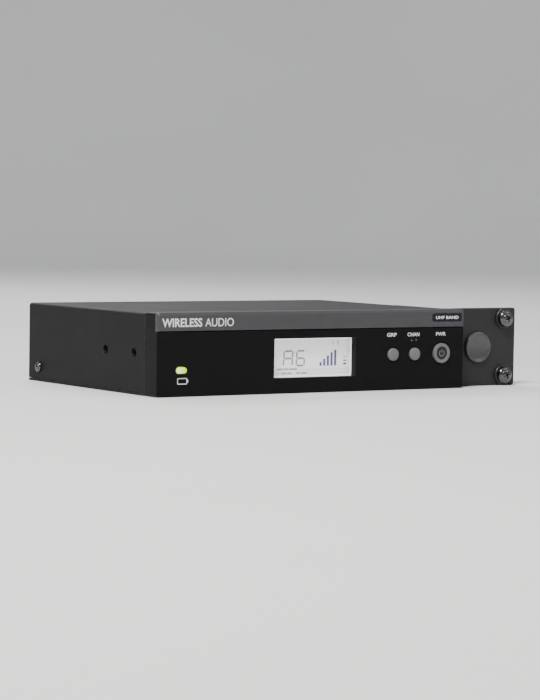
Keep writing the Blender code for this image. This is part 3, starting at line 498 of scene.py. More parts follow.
def add_loft(bm, loops):
    """Add a closed body through loops of 3-D points, with a flat cap at each end."""
    rings = [[bm.verts.new(point) for point in loop] for loop in loops]
    bm.faces.new(rings[0])
    bm.faces.new(rings[-1])
    for lower, upper in zip(rings, rings[1:]):
        for k in range(len(lower)):
            after = (k + 1) % len(lower)
            bm.faces.new((lower[k], lower[after], upper[after], upper[k]))


def add_prism(bm, outline, low, high):
    """Add an outline in the XY plane, extruded from low to high."""
    add_loft(bm, [raised(outline, low), raised(outline, high)])


def add_prints(bm, outlines):
    """Add thin printed shapes."""
    for outline in outlines:
        add_prism(bm, outline, 0, 2 * PRINT)


def add_eased_box(bm, size, radius, levels, edge, corner_steps=6, steps=5):
    """Add a slab between two levels, with round corners and a rounded top edge."""
    low, high = levels
    least = 0.05 * MM
    loops = []
    for height, inset in [(low - high, 0), *quarter(edge, steps)]:
        outline = box_outline((size[0] - 2 * inset, size[1] - 2 * inset),
                              max(radius - inset, least), (0, 0), corner_steps)
        loops.append(raised(outline, high + height))
    add_loft(bm, loops)


def add_block(bm, low, high):
    low, high = Vector(low), Vector(high)
    place = Matrix.Translation((low + high) / 2) @ Matrix.Diagonal((*(high - low), 1))
    bmesh.ops.create_cube(bm, size=1, matrix=place)


def add_soft_block(bm, low, high, edge):
    add_block(bm, low, high)
    bmesh.ops.bevel(bm, geom=bm.edges[:], offset=edge, segments=2, affect="EDGES")


def turned(name, material, profile, centre, facing, steps=96):
    return formed(name, material, centre, facing, add_turned, profile, steps)


def slab(name, material, size, radius, levels, edge, centre, facing, corner_steps=6):
    return formed(name, material, centre, facing, add_eased_box, size, radius, levels, edge,
                  corner_steps)


def tool(centre, facing, add, *measures):
    """Cutter made by one of the add functions."""
    return formed("tool", None, centre, facing, add, *measures)


def block_tool(low, high):
    return tool((0, 0, 0), "up", add_block, low, high)


def eased_prism(size, radius, depth, edge, origin, facing, steps=6):
    """Cutter for an oblong hole whose edge at the face is rounded."""
    loops = []
    for height, grow in [(-depth, 0), *quarter(edge), (PROUD, edge)]:
        outline = box_outline((size[0] + 2 * grow, size[1] + 2 * grow), radius + grow, (0, 0), steps)
        loops.append(raised(outline, height))
    return tool(origin, facing, add_loft, loops)


def eased_hole(radius, depth, edge, places, origin, facing, steps=96):
    """Cutter for round holes whose edges at the face are rounded."""
    profile = [(0, -depth), (radius, -depth)]
    profile += [(radius + grow, height) for height, grow in quarter(edge)]
    profile += [(radius + edge, PROUD), (0, PROUD)]
    return tool(origin, facing, add_turned, profile, steps, places)


def cross_cutter(reach, width, depth, place, facing):
    """Cutter for a cross recess that tapers to its bottom; its measures are in millimetres."""
    bm = bmesh.new()
    loops = []
    for height, scale in ((-depth, 0.38), (0, 1.0), (0.4, 1.0)):
        r, w = reach * scale, width * (0.55 + 0.45 * scale) / 2
        corners = [(w, r), (-w, r), (-w, w), (-r, w), (-r, -w), (-w, -w), (-w, -r), (w, -r),
                   (w, -w), (r, -w), (r, w), (w, w)]
        loops.append(mm(*raised(corners, height)))
    add_loft(bm, loops)
    turn = Matrix.Rotation(radians(18), 4, "Z")
    bm.transform(Matrix.Translation(place) @ TURNS[facing] @ turn)
    return finish_mesh("tool", bm, None)


def carve(piece, cutter, operation="DIFFERENCE"):
    """Cut or join a mesh for good, and drop the cutter."""
    piece.modifiers.clear()
    cutter.modifiers.clear()
    boolean = piece.modifiers.new("carve", "BOOLEAN")
    boolean.operation = operation
    boolean.solver = "EXACT"
    boolean.object = cutter
    bpy.context.view_layer.update()
    graph = bpy.context.evaluated_depsgraph_get()
    mesh = bpy.data.meshes.new_from_object(piece.evaluated_get(graph))
    piece.modifiers.clear()
    mesh.name = piece.name
    piece.data = mesh
    bpy.data.objects.remove(cutter)
    shade(piece)


def soften(piece, width, angle=50):
    """Small rounded edges all over, put before the shading modifier."""
    bevel = piece.modifiers.new("edges", "BEVEL")
    bevel.width = width
    bevel.segments = 3
    bevel.limit_method = "ANGLE"
    bevel.angle_limit = radians(angle)
    bevel.harden_normals = False
    piece.modifiers.move(1, 0)


def middle(node):
    """Centre of a CAD node's box."""
    low, high = (Vector(c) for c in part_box(node))
    return (low + high) / 2


def extent(node):
    low, high = (Vector(c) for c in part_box(node))
    return high - low


def on_front(node):
    """Centre of a node, moved to the front face."""
    place = middle(node)
    return Vector((place.x, FRONT, place.z))


def on_rear(node):
    """Centre of a node, moved to the rear wall."""
    place = middle(node)
    return Vector((place.x, REAR, place.z))


def rear_reach(node):
    """How far a node stands out of the rear wall, in millimetres."""
    return (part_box(node)[1].y - REAR) / MM


def cap_radius(button):
    """Radius of the part of a button that shows, inside its retaining flange."""
    return extent(button + "_button").x / 2 - 1.1 * MM


def stand_for(piece, *nodes, body=BODY):
    """The piece rides on its body and is shown instead of the nodes."""
    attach(piece, body)
    if nodes:
        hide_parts(*nodes)


def lettering(name, text, size, centre, material, width=None, bold=0.0, facing="front"):
    """Flat raised print of a generic word, centred on a point."""
    curve = bpy.data.curves.new(name, "FONT")
    curve.body = text
    curve.size = size
    curve.align_x = "CENTER"
    curve.align_y = "CENTER"
    curve.offset = bold
    curve.extrude = PRINT
    curve.resolution_u = 4
    holder = show(name, curve)
    bpy.context.view_layer.update()
    graph = bpy.context.evaluated_depsgraph_get()
    mesh = bpy.data.meshes.new_from_object(holder.evaluated_get(graph))
    bpy.data.objects.remove(holder)
    bm = bmesh.new()
    bm.from_mesh(mesh)
    bmesh.ops.remove_doubles(bm, verts=bm.verts, dist=0.0005 * MM)
    bm.to_mesh(mesh)
    bm.free()
    xs = [v.co.x for v in mesh.vertices]
    ys = [v.co.y for v in mesh.vertices]
    shift = Matrix.Translation((-(min(xs) + max(xs)) / 2, -(min(ys) + max(ys)) / 2, 0))
    squeeze = width / (max(xs) - min(xs)) if width else 1
    mesh.transform(Matrix.Translation(centre) @ TURNS[facing] @ Matrix.Diagonal((squeeze, 1, 1, 1)) @ shift)
    made = show(name, mesh)
    mesh.materials.clear()
    mesh.materials.append(material)
    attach(made, BODY)


def flat_shapes(name, outlines, material, centre, facing="front", body=BODY):
    """Thin printed shapes as one piece, in the plane that faces that way."""
    stand_for(formed(name, material, centre, facing, add_prints, outlines), body=body)


# ---------------------------------------------------------------- front panel

def build_bezel(looks):
    """Moulded front: the panel under the strip, the recess walls and every opening."""
    bezel = slab("bezel_fine", looks["bezel"], (2 * SIDE, HEIGHT), 1.5 * MM, (-BEZEL_DEPTH, 0),
                 0.65 * MM, (0, FRONT, HEIGHT / 2), "front")
    rim = 1.8 * MM
    inside = FRONT + FACE
    back = FRONT + BEZEL_DEPTH + MM
    top = STRIP_LOW - GAP
    divide = top - 0.4 * MM
    carve(bezel, block_tool((-SIDE - MM, FRONT - MM, top), (SIDE + MM, FRONT + 2.5 * MM, HEIGHT + MM)))
    carve(bezel, block_tool((rim - SIDE, inside, rim), (SIDE - rim, back, divide)))
    carve(bezel, block_tool((rim - SIDE, inside + 2 * MM, divide - 0.1 * MM),
                            (SIDE - rim, back, HEIGHT - rim)))
    glass = on_front("lcd_glass")
    wall = (WINDOW[0] / 2 + 2.2 * MM, WINDOW[1] / 2 + 2.2 * MM)
    carve(bezel, block_tool((glass.x - wall[0], inside - 0.1 * MM, glass.z - wall[1]),
                            (glass.x + wall[0], FRONT + WINDOW_DEPTH, glass.z + wall[1])), "UNION")
    carve(bezel, eased_prism(WINDOW, 0.5 * MM, 6 * MM, 0.35 * MM, glass, "front"))
    size = (LAMP[0] + 2 * GAP, LAMP[1] + 2 * GAP)
    carve(bezel, eased_prism(size, size[1] / 2.02, 5 * MM, 0.25 * MM, on_front("led_light_pipe"),
                             "front", 12))
    for button in BUTTONS:
        place = middle(button + "_button")
        carve(bezel, eased_hole(cap_radius(button) + GAP, 5 * MM, 0.6 * MM, [(place.x, place.z)],
                                (0, FRONT, 0), "front"))
    stand_for(bezel, "front_bezel")


def build_strip(looks):
    """Metal-look strip: round top corners, a bevel along the top, and a recess for the label."""
    low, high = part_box("trim_strip")
    proud, back = FRONT - low.y, FRONT - high.y
    corner = 1.6 * MM
    ends, lip = 0.6, 0.25         # share of the top chamfer's width at the ends and the lower edge
    loops = []
    for depth, inset in ((proud - back, 0), *mm((1.15, 0), (1.02, 0.05), (0.10, 1.05), (0, 1.2))):
        x, lower, upper = SIDE - ends * inset, low.z + lip * inset, high.z - inset
        outline = rounded([(-x, lower), (x, lower), (x, upper, corner - inset),
                           (-x, upper, corner - inset)], 8)
        loops.append(raised(outline, proud - depth))
    strip = formed("strip_fine", looks["strip"], (0, FRONT, 0), "front", add_loft, loops)
    label = on_front("band_label")
    size = extent("band_label")
    recess = (size.x + 2 * GAP, size.z + 2 * GAP)
    carve(strip, tool(label, "front", add_prism, box_outline(recess, 1.3 * MM), -0.28 * MM, 2 * MM))
    stand_for(strip, "trim_strip")
    plate = slab("label_plate", looks["label"], (size.x, size.z), MM, (0, size.y), 0.15 * MM, label,
                 "front")
    stand_for(plate, "band_label")
    face = FRONT - size.y - 0.5 * PRINT
    lettering("label_words", "UHF BAND", 2.3 * MM, (label.x, face, label.z), looks["ink"],
              15.5 * MM, 0.06 * MM)


def build_strip_words(looks):
    face = FRONT - 0.4 * MM - 0.5 * PRINT
    for name, text, x, width, bold in (("strip_word_bold", "WIRELESS", 14.6, 24, 0.13),
                                       ("strip_word_thin", "AUDIO", 37.2, 17.4, 0.02)):
        lettering(name, text, 6.1 * MM, (x * MM - SIDE, face, HEIGHT - 5.2 * MM), looks["ink"],
                  width * MM, bold * MM)


DIGITS = {"A": "abcefg", "6": "acdefg"}


def segment(start, end, width):
    """Bar between two points with pointed ends, as on a segment display."""
    a, b = Vector(start), Vector(end)
    along = (b - a).normalized()
    across = Vector((-along.y, along.x)) * width / 2
    tip = along * width / 2
    points = (a, a + tip + across, b - tip + across, b, b - tip - across, a + tip - across)
    return [tuple(p) for p in points]


def digit_segments(letter, centre, size, width, slant):
    """Outlines of the lit segments of one character."""
    w, h = size[0] / 2, size[1] / 2
    corner = {"a": ((-w, h), (w, h)), "b": ((w, h), (w, 0)), "c": ((w, 0), (w, -h)),
              "d": ((-w, -h), (w, -h)), "e": ((-w, 0), (-w, -h)), "f": ((-w, h), (-w, 0)),
              "g": ((-w, 0), (w, 0))}
    outlines = []
    for name in DIGITS[letter]:
        ends = []
        for x, y in corner[name]:
            ends.append(Vector((centre[0] + x + slant * y, centre[1] + y)))
        inset = (ends[1] - ends[0]).normalized() * 0.18 * width
        outlines.append(segment(ends[0] + inset, ends[1] - inset, width))
    return outlines


def build_display(looks):
    """Lit display with its characters, level bars and small marks."""
    glass, size = on_front("lcd_glass"), extent("lcd_glass")
    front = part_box("lcd_glass")[0].y
    lit = slab("lcd_lit", looks["glass"], (size.x, size.z), 0.4 * MM, (-size.y, 0), 0.2 * MM,
               (glass.x, front, glass.z), "front")
    stand_for(lit, "lcd_glass")

    window_left, right = glass.x - WINDOW[0] / 2, glass.x + WINDOW[0] / 2
    top, bottom = glass.z + WINDOW[1] / 2, glass.z - WINDOW[1] / 2
    left = window_left + 3.0 * MM
    face = (0, front - 0.01 * MM, 0)

    def at(u, v):
        """Point at a share of the way from the left and from the top of what shows."""
        return left + u * (right - left), top - v * (top - bottom)

    # Painted highlight: brighter glowing bars along the window's edges, standing in for a bright edge line.
    rim = 0.8 * MM
    edge_highlight_bars = [bar(window_left - rim, bottom - rim, right + rim, bottom + rim),
               bar(window_left - rim, top - rim, right + rim, top + rim),
               bar(window_left - rim, bottom + rim, window_left + rim, top - rim),
               bar(right - rim, bottom + rim, right + rim, top - rim)]
    flat_shapes("lcd_edge_highlight", edge_highlight_bars, looks["glass_rim"], face)

    outlines = []
    for letter, u, wide in (("A", 0.175, 5.6 * MM), ("6", 0.335, 5.0 * MM)):
        outlines += digit_segments(letter, at(u, 0.52), (wide, 7.8 * MM), 0.95 * MM, 0.07)
    flat_shapes("lcd_characters", outlines, looks["segment"], face)

    bars = []
    base = at(0, 0.73)[1]
    for k, share in enumerate((0.635, 0.55, 0.465, 0.385, 0.32)):
        x, tip = at(0.598 + 0.0478 * k, share)
        bars.append(bar(x - 0.7 * MM, base, x + 0.7 * MM, tip))
    for share, tall in ((0.685, 0.95), (0.60, 0.7)):
        x, z = at(0.915, share)
        bars.append(bar(x - 0.95 * MM, z - tall * MM / 2, x + 0.95 * MM, z + tall * MM / 2))
    flat_shapes("lcd_bars", bars, looks["segment_blue"], face)

    faint = [bar(*at(0.0, 0.815), *at(0.995, 0.808))]
    for u0, u1, share in ((0.03, 0.11, 0.795), (0.12, 0.18, 0.795), (0.19, 0.29, 0.795),
                          (0.035, 0.05, 0.90), (0.09, 0.15, 0.90), (0.16, 0.22, 0.90),
                          (0.275, 0.33, 0.90), (0.34, 0.42, 0.90)):
        faint.append(bar(*at(u0, share + 0.022), *at(u1, share - 0.022)))
    for u in (0.757, 0.82):
        faint.append(bar(*at(u - 0.006, 0.19), *at(u + 0.006, 0.07)))
    faint.append(bar(*at(0.895, 0.53), *at(0.935, 0.50)))
    flat_shapes("lcd_marks", faint, looks["segment_faint"], face)


def build_buttons(looks):
    """Three moulded caps on their stems; the power key has a ring round a dished middle."""
    flange = (FACE + GAP) / MM
    stem = 1.6
    for button in BUTTONS:
        proud = (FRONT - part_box(button + "_button")[0].y) / MM
        radius = cap_radius(button) / MM
        profile = [(0, -flange - 2.5), (stem, -flange - 2.5), (stem, -flange - 1),
                   (radius + 1.1, -flange - 1), (radius + 1.1, -flange), (radius, -flange)]
        if button == "power":
            profile += arc(radius - 0.5, proud - 0.5, 0.5, 6)
            profile += [(radius - 1.5, proud), (radius - 1.75, proud - 0.1),
                        (radius - 1.9, proud - 0.35), (radius - 1.9, proud - 1.2), (0, proud - 1.2)]
        else:
            profile += dome(radius, proud - 0.25, 0.55, proud)
        made = turned(button + "_cap", looks["button"], mm(*profile), on_front(button + "_button"),
                      "front")
        stand_for(made, button + "_button", body=button + "_key")
    place = on_front("power_button")
    place.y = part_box("power_button")[0].y
    inner = cap_radius("power") / MM - 1.92
    disc = mm((0, -1.15), (inner, -1.15), (inner, -0.5), (inner - 0.2, -0.42), (inner * 0.6, -0.5),
              (0, -0.5))
    stand_for(turned("power_inlay", looks["inlay"], disc, place, "front"), body="power_key")
    place.y += 0.5 * MM
    flat_shapes("power_symbol", power_symbol(1.6 * MM, 0.42 * MM), looks["ink_dim"], place,
                body="power_key")


def power_symbol(radius, width):
    """Outlines of an open ring and of an upright bar in its opening."""
    opening = radians(38)
    steps = 40
    outer, inner = [], []
    for k in range(steps + 1):
        angle = pi / 2 + opening + (2 * pi - 2 * opening) * k / steps
        outer.append(((radius + width / 2) * cos(angle), (radius + width / 2) * sin(angle)))
        inner.append(((radius - width / 2) * cos(angle), (radius - width / 2) * sin(angle)))
    return [outer + inner[::-1], bar(-width / 2, 0.25 * radius, width / 2, 1.25 * radius)]


def add_battery(bm, at, line=0.42 * MM):
    """Add the outline of a battery: a line round a box, and its nub."""
    outer = box_outline((6.0 * MM, 3.3 * MM), 0.7 * MM, at)
    inner = box_outline((6.0 * MM - 2 * line, 3.3 * MM - 2 * line), 0.4 * MM, at)
    rings = [[bm.verts.new(point) for point in raised(outline, height)] for outline, height in
             ((outer, 0), (outer, 2 * PRINT), (inner, 2 * PRINT), (inner, 0))]
    for ring, following in zip(rings, rings[1:] + rings[:1]):
        for k in range(len(ring)):
            after = (k + 1) % len(ring)
            bm.faces.new((ring[k], ring[after], following[after], following[k]))
    nub = at[0] + 3.0 * MM + 0.05 * MM
    add_prints(bm, [bar(nub, at[1] - 0.7 * MM, nub + 0.5 * MM, at[1] + 0.7 * MM)])


def build_panel_print(looks):
    """Words over the buttons, and the battery sign under the lamp."""
    face = FRONT - 0.5 * PRINT
    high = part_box("lcd_glass")[1].z - 0.75 * MM
    for button, word, width, shift in (("group", "GRP", 6.4, -0.9), ("channel", "CHAN", 8.0, -0.9),
                                       ("power", "PWR", 6.6, -0.3)):
        x = middle(button + "_button").x + shift * MM
        lettering(button + "_word", word, 2.75 * MM, (x, face, high), looks["ink"], width * MM,
                  0.05 * MM)
    middle_x = middle("channel_button").x - 0.6 * MM
    middle_z = high - 3.1 * MM
    half, tall = 0.55 * MM, 0.45 * MM
    arrows = []
    for side, up in ((-1, 1), (1, -1)):
        x = middle_x + side * 1.5 * MM
        arrows.append([(x - half, middle_z - up * tall), (x + half, middle_z - up * tall),
                       (x, middle_z + up * tall)])
    flat_shapes("channel_arrows", arrows, looks["ink_dim"], (0, face, 0))
    lamp = middle("led_light_pipe")
    at = (lamp.x + 0.4 * MM, lamp.z - 5.6 * MM)
    stand_for(formed("battery_sign", looks["ink"], (0, face, 0), "front", add_battery, at))


def add_lamp(bm, proud, back):
    """Add the bar that shows, its flange and its stem."""
    flange = -FACE - GAP
    add_eased_box(bm, LAMP, LAMP[1] / 2.02, (flange, proud), 0.28 * MM, 12, 4)
    add_block(bm, (-4.2 * MM, -2.7 * MM, flange - MM), (4.2 * MM, 2.7 * MM, flange - 0.01 * MM))
    add_block(bm, (-2.2 * MM, -1.2 * MM, back), (2.2 * MM, 1.2 * MM, flange - 1.01 * MM))


def build_lamp(looks):
    """Light pipe with a soft front edge."""
    low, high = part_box("led_light_pipe")
    made = formed("lamp_bar", looks["lamp"], on_front("led_light_pipe"), "front", add_lamp,
                  FRONT - low.y, FRONT - high.y)
    stand_for(made, "led_light_pipe")


# ---------------------------------------------------------------- housing

def build_cover(looks):
    """Folded cover: round bends, and holes in both sides."""
    low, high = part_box("top_cover")
    sheet, bend = 1.2 * MM, 1.7 * MM
    steps = 8
    outer = rounded([(-SIDE, low.z), (-SIDE, high.z, bend), (SIDE, high.z, bend), (SIDE, low.z)], steps)
    inner = rounded([(-SIDE + sheet, low.z), (-SIDE + sheet, high.z - sheet, bend - sheet),
                     (SIDE - sheet, high.z - sheet, bend - sheet), (SIDE - sheet, low.z)], steps)
    cover = formed("cover_fine", looks["cover"], (0, 0, 0), "front", add_prism, outer + inner[::-1],
                   -high.y, -low.y)
    bracket = [middle("ear_screw_" + end) for end in ("front", "rear")]
    screw = middle("cover_screw_left")
    for side, facing in ((1, "right"), (-1, "left")):
        face = (side * SIDE, 0, 0)
        places = [(-side * p.z, p.y) for p in bracket]
        carve(cover, eased_hole(2.6 * MM, 4 * MM, 0.2 * MM, places, face, facing, 48))
        places = [(-side * screw.z, screw.y)]
        carve(cover, eased_hole(1.7 * MM, 4 * MM, 0.1 * MM, places, face, facing, 40))
    soften(cover, 0.12 * MM)
    stand_for(cover, "top_cover")


def screw_head(name, node, radius, height, shank, length, facing, origin, looks, cross=0.55):
    """Pan-head screw with a cross recess; its measures are in millimetres."""
    profile = mm((0, -length), (shank * 0.7, -length), (shank, -length + 0.4), (shank, 0), (radius, 0),
                 *dome(radius, height * 0.72, height * 0.55, height))
    made = turned(name, looks["screw"], profile, origin, facing, 72)
    top = Vector(origin) + TURNS[facing].to_3x3() @ Vector((0, 0, height * 0.97 * MM))
    carve(made, cross_cutter(radius * cross, radius * 0.17, height * 0.75, top, facing))
    stand_for(made, node)


def build_cover_screws(looks):
    for side, facing in ((-1, "left"), (1, "right")):
        node = "cover_screw_" + facing
        place = middle(node)
        screw_head("cover_fixing_" + facing, node, 2.9, 1.7, 1.4, 5, facing,
                   (side * (SIDE + GAP), place.y, place.z), looks)


# ---------------------------------------------------------------- rack ear

def build_ear(looks):
    """Bracket with round edges and an inside fillet at the bend."""
    low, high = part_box("rack_ear")
    thick = 3.0 * MM
    ear = slab("ear_fine", looks["ear"], (high.x - low.x, high.z - low.z), 1.2 * MM, (-thick, 0),
               0.9 * MM, ((low.x + high.x) / 2, low.y, (low.z + high.z) / 2), "front")
    fillet = 1.6 * MM
    inside_x, inside_y = low.x + EAR_SIDE, low.y + thick
    corner = rounded([(low.x, low.y + MM), (inside_x + 2 * fillet, low.y + MM),
                      (inside_x + 2 * fillet, inside_y), (inside_x, inside_y, fillet),
                      (inside_x, high.y, 0.8 * MM), (low.x, high.y, 0.8 * MM)], 6)
    side = tool((0, 0, 0), "up", add_prism, corner, low.z + 0.6 * MM, high.z - 0.6 * MM)
    carve(ear, side, "UNION")
    plug = middle("ear_plug")
    carve(ear, eased_hole(7 * MM, 5 * MM, 0.2 * MM, [(plug.x, plug.z)], (0, low.y, 0), "front"))
    for end in ("upper", "lower"):
        place = middle("rack_washer_" + end)
        carve(ear, eased_prism((10.5 * MM, 7 * MM), 3.47 * MM, 5 * MM, 0.2 * MM,
                               (place.x, low.y, place.z), "front", 12))
    sink = mm((0, -4), (2.4, -4), (2.4, -1.9), (4.9, 0.6), (0, 0.6))
    places = [(-p.z, p.y) for p in (middle("ear_screw_front"), middle("ear_screw_rear"))]
    carve(ear, tool((inside_x, 0, 0), "right", add_turned, sink, 64, places))
    soften(ear, 0.1 * MM, 60)
    stand_for(ear, "rack_ear")


def build_ear_screws(looks):
    profile = mm((0, -9), (1.2, -9), (1.5, -8.6), (1.5, -1.9), (1.9, -1.9), (3.6, -0.2),
                 (3.55, -0.05), (3.4, 0), (0, 0))
    for end in ("front", "rear"):
        place = middle("ear_screw_" + end)
        place.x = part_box("rack_ear")[0].x + EAR_SIDE
        made = turned("ear_fixing_" + end, looks["screw"], profile, place, "right", 64)
        carve(made, cross_cutter(2.0, 0.65, 1.4, place, "right"))
        stand_for(made, "ear_screw_" + end)


def build_plug(looks):
    """Hole plug: dished cap with a round raised rim; the measures are in millimetres."""
    plug = middle("ear_plug")
    behind, gap = -3.3, GAP / MM
    cap = extent("ear_plug").x / 2 / MM
    bead = 0.55                   # radius of the rim's rounding
    dish = cap - 2
    profile = [(0, 0.2), (5.4, 0.2), (5.4, -7.5), (6.2, -7.5), (7.2, behind - 0.8), (7.2, behind),
               (6.7, behind), (6.7, gap), (cap - 0.1, gap), (cap, 0.45), (cap, 1.2)]
    profile += arc(cap - bead, 1.25, bead, 6, 1)
    profile += [(cap - 0.9, 1.75), (cap - 1.25, 1.5), (cap - 1.6, 1.25), (dish, 1.15)]
    profile += [(dish * (1 - k / 6), 0.75 + 0.4 * (1 - k / 6) ** 2) for k in range(1, 7)]
    made = turned("plug_cap", looks["plug"], mm(*profile), (plug.x, EAR_FACE, plug.z), "front", 128)
    stand_for(made, "ear_plug")


def build_rack_screws(looks):
    low = GAP / MM
    high = low + 1.3              # the washer's two faces, in millimetres from the ear
    profile = mm((2.8, low), (5.6, low), (5.7, low + 0.1), (5.7, high - 0.4), (5.5, high - 0.12),
                 (5.2, high), (2.9, high), (2.8, high - 0.1))
    for end in ("upper", "lower"):
        place = middle("rack_washer_" + end)
        place.y = EAR_FACE
        stand_for(turned("washer_" + end, looks["nylon"], profile, place, "front"), "rack_washer_" + end)
        place.y -= GAP + high * MM
        screw_head("rack_fixing_" + end, "rack_screw_" + end, 4.7, 3.2, 2.4, 16, "front", place, looks,
                   0.5)


# ---------------------------------------------------------------- rear panel, in millimetres

def threaded(radius, low, high, pitch=0.8, depth=0.22):
    """Profile points that look like a turned thread between two heights."""
    points = []
    for k in range(int((high - low) / pitch)):
        base = low + k * pitch
        points += [(radius, base), (radius, base + 0.2 * pitch),
                   (radius - depth, base + 0.6 * pitch), (radius, base + pitch)]
    return points


def hex_nut(name, node, bore, high, looks):
    """Hexagonal nut whose corners are turned off at the outside."""
    place = on_rear(node)
    across, low = 13, GAP / MM
    corner = across / 2 / cos(pi / 6)
    hexagon = mm(*[(corner * cos(pi / 3 * k), corner * sin(pi / 3 * k)) for k in range(6)])
    made = formed(name, looks["nickel"], place, "rear", add_prism, hexagon, GAP, high * MM)
    cone = mm((0, low - 1), (corner + 1, low - 1), (corner + 1, high - 1.3), (corner, high - 0.55),
              (across / 2, high), (0, high))
    carve(made, tool(place, "rear", add_turned, cone, 96), "INTERSECT")
    hole = mm((0, low - 1), (bore, low - 1), (bore, high - 0.2), (bore + 0.4, high + 0.2),
              (0, high + 0.2))
    carve(made, tool(place, "rear", add_turned, hole, 72))
    stand_for(made, node)


def build_antenna(name, looks):
    """Bayonet jack: threaded shell with two lugs, insulator and contact."""
    place = on_rear(name + "_shell")
    reach = rear_reach(name + "_shell")
    barrel, bore, throat = 4.75, 4.1, 3.0
    profile = [(throat, -13), (6.4, -13), (6.4, -1.5), (barrel, -1.5), *threaded(barrel, -1.2, 4.6),
               (barrel - 0.1, 4.75), (barrel - 0.1, reach - 0.5),
               *arc(barrel - 0.45, reach - 0.35, 0.35, 5), (bore + 0.1, reach - 0.05),
               (bore, reach - 0.2), (bore, 1), (throat, 1)]
    shell = turned(name + "_barrel", looks["nickel"], mm(*profile), place, "rear")
    lug = mm((0, 4.3), (1.0, 4.3), (1.0, 5.45), (0.85, 5.66), (0.6, 5.7), (0, 5.7))
    for facing in ("right", "left"):
        carve(shell, tool(place + Vector((0, 6.2 * MM, 0)), facing, add_turned, lug, 40), "UNION")
    stand_for(shell, name + "_shell")
    top = rear_reach(name + "_insulator")
    outer = throat - GAP / MM
    ring = mm((1.3, -12.7), (outer, -12.7), (outer, top - 0.3), (outer - 0.3, top), (1.6, top),
              (1.3, top - 0.3))
    made = turned(name + "_dielectric", looks["white"], ring, place, "rear", 64)
    stand_for(made, name + "_insulator")
    tip = rear_reach(name + "_contact")
    pin = mm((0, -12.7), (1, -12.7), (1, tip - 0.2), (0.8, tip), (0.65, tip), (0.6, tip - 0.2),
             (0.6, tip - 4), (0, tip - 4))
    stand_for(turned(name + "_socket", looks["brass"], pin, place, "rear", 48), name + "_contact")
    hex_nut(name + "_hexagon", name + "_nut", barrel + 0.25, 2.7, looks)


def build_xlr(looks):
    """Balanced output: rounded flange, deep bore, insert and three pins."""
    place, size = on_rear("xlr_housing"), extent("xlr_housing")
    made = slab("xlr_flange", looks["connector"], (size.x, size.z), 3 * MM, (GAP, 2.1 * MM), 0.5 * MM,
                place, "rear", 8)
    ends = ("upper", "lower")
    screws = [middle("xlr_screw_" + end) for end in ends]
    pins = [middle(f"xlr_pin_{n}") for n in (1, 2, 3)]
    screw_places, pin_places = ([(p.x - place.x, place.z - p.z) for p in group]
                                for group in (screws, pins))
    hole = mm((0, -3), (1.5, -3), (1.5, 4), (0, 4))
    carve(made, tool(place, "rear", add_turned, hole, 32, screw_places))
    wall, bore = 10.4, 8.1
    tube = mm((0, -14), (wall, -14), (wall, 2.3), (wall - 0.12, 2.58), (wall - 0.4, 2.7), (0, 2.7))
    carve(made, tool(place, "rear", add_turned, tube, 96), "UNION")
    mouth = mm((0, -16), (bore, -16), (bore, 2.1), (bore + 0.8, 2.9), (0, 2.9))
    carve(made, tool(place, "rear", add_turned, mouth, 96))
    stand_for(made, "xlr_housing")
    face, outer = rear_reach("xlr_insert"), bore - GAP / MM
    disc = mm((0, -12), (outer, -12), (outer, face - 0.3), (outer - 0.3, face), (0, face))
    insert = turned("xlr_disc", looks["nylon"], disc, place, "rear")
    hole = mm((0, -13), (1.5, -13), (1.5, -8), (0, -8))
    carve(insert, tool(place, "rear", add_turned, hole, 40, pin_places))
    stand_for(insert, "xlr_insert")
    profile = mm((0, -15.5), (1.2, -15.5), (1.2, -1.7), *arc(0.4, -1.6, 0.8, 6), (0, -0.8))
    for n, p in enumerate(pins, 1):
        made = turned(f"xlr_contact_{n}", looks["nickel"], profile, (p.x, REAR, p.z), "rear", 48)
        stand_for(made, f"xlr_pin_{n}")
    for end, p in zip(ends, screws):
        screw_head("xlr_fixing_" + end, "xlr_screw_" + end, 2.4, 1.5, 1.15, 4.5, "rear",
                   (p.x, REAR + 2.4 * MM, p.z), looks)


def build_socket(name, node, place, edge, nose, bore, looks):
    """Block behind the rear wall with a round nose and a bore through it."""
    low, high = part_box(node)
    made = formed(name, looks["connector"], (0, 0, 0), "up", add_soft_block, low,
                  (high.x, REAR - 1.5 * MM, high.z), edge * MM)
    carve(made, tool(place, "rear", add_turned, mm(*nose), 96), "UNION")
    carve(made, tool(place, "rear", add_turned, mm(*bore), 72))
    stand_for(made, node)


def build_jack(looks):
    """Output jack with a threaded nose, and its nut."""
    reach = rear_reach("jack_body")
    nose = [(0, -3), (4.7, -3), *threaded(4.7, -1.1, 3.7), (4.6, reach - 0.3), (4.35, reach - 0.05),
            (4.2, reach), (0, reach)]
    bore = [(0, -24), (3.2, -24), (3.2, reach - 0.5), (3.8, reach + 0.1), (0, reach + 0.1)]
    build_socket("jack_block", "jack_body", on_rear("jack_nut"), 0.4, nose, bore, looks)
    hex_nut("jack_hexagon", "jack_nut", 4.95, 2.8, looks)


def build_power_inlet(looks):
    """Barrel inlet and its centre pin."""
    place = on_rear("dc_pin")
    reach = rear_reach("dc_jack")
    nose = [(0, -3), (4.2, -3), (4.2, reach - 0.25), (3.95, reach), (0, reach)]
    bore = [(0, -9), (3.0, -9), (3.0, reach - 0.3), (3.35, reach + 0.1), (0, reach + 0.1)]
    build_socket("dc_block", "dc_jack", place, 0.3, nose, bore, looks)
    pin = mm((0, -14.5), (1, -14.5), (1, -1.5), (0.9, -1.15), (0.55, -1), (0, -1))
    stand_for(turned("dc_contact", looks["nickel"], pin, place, "rear", 48), "dc_pin")


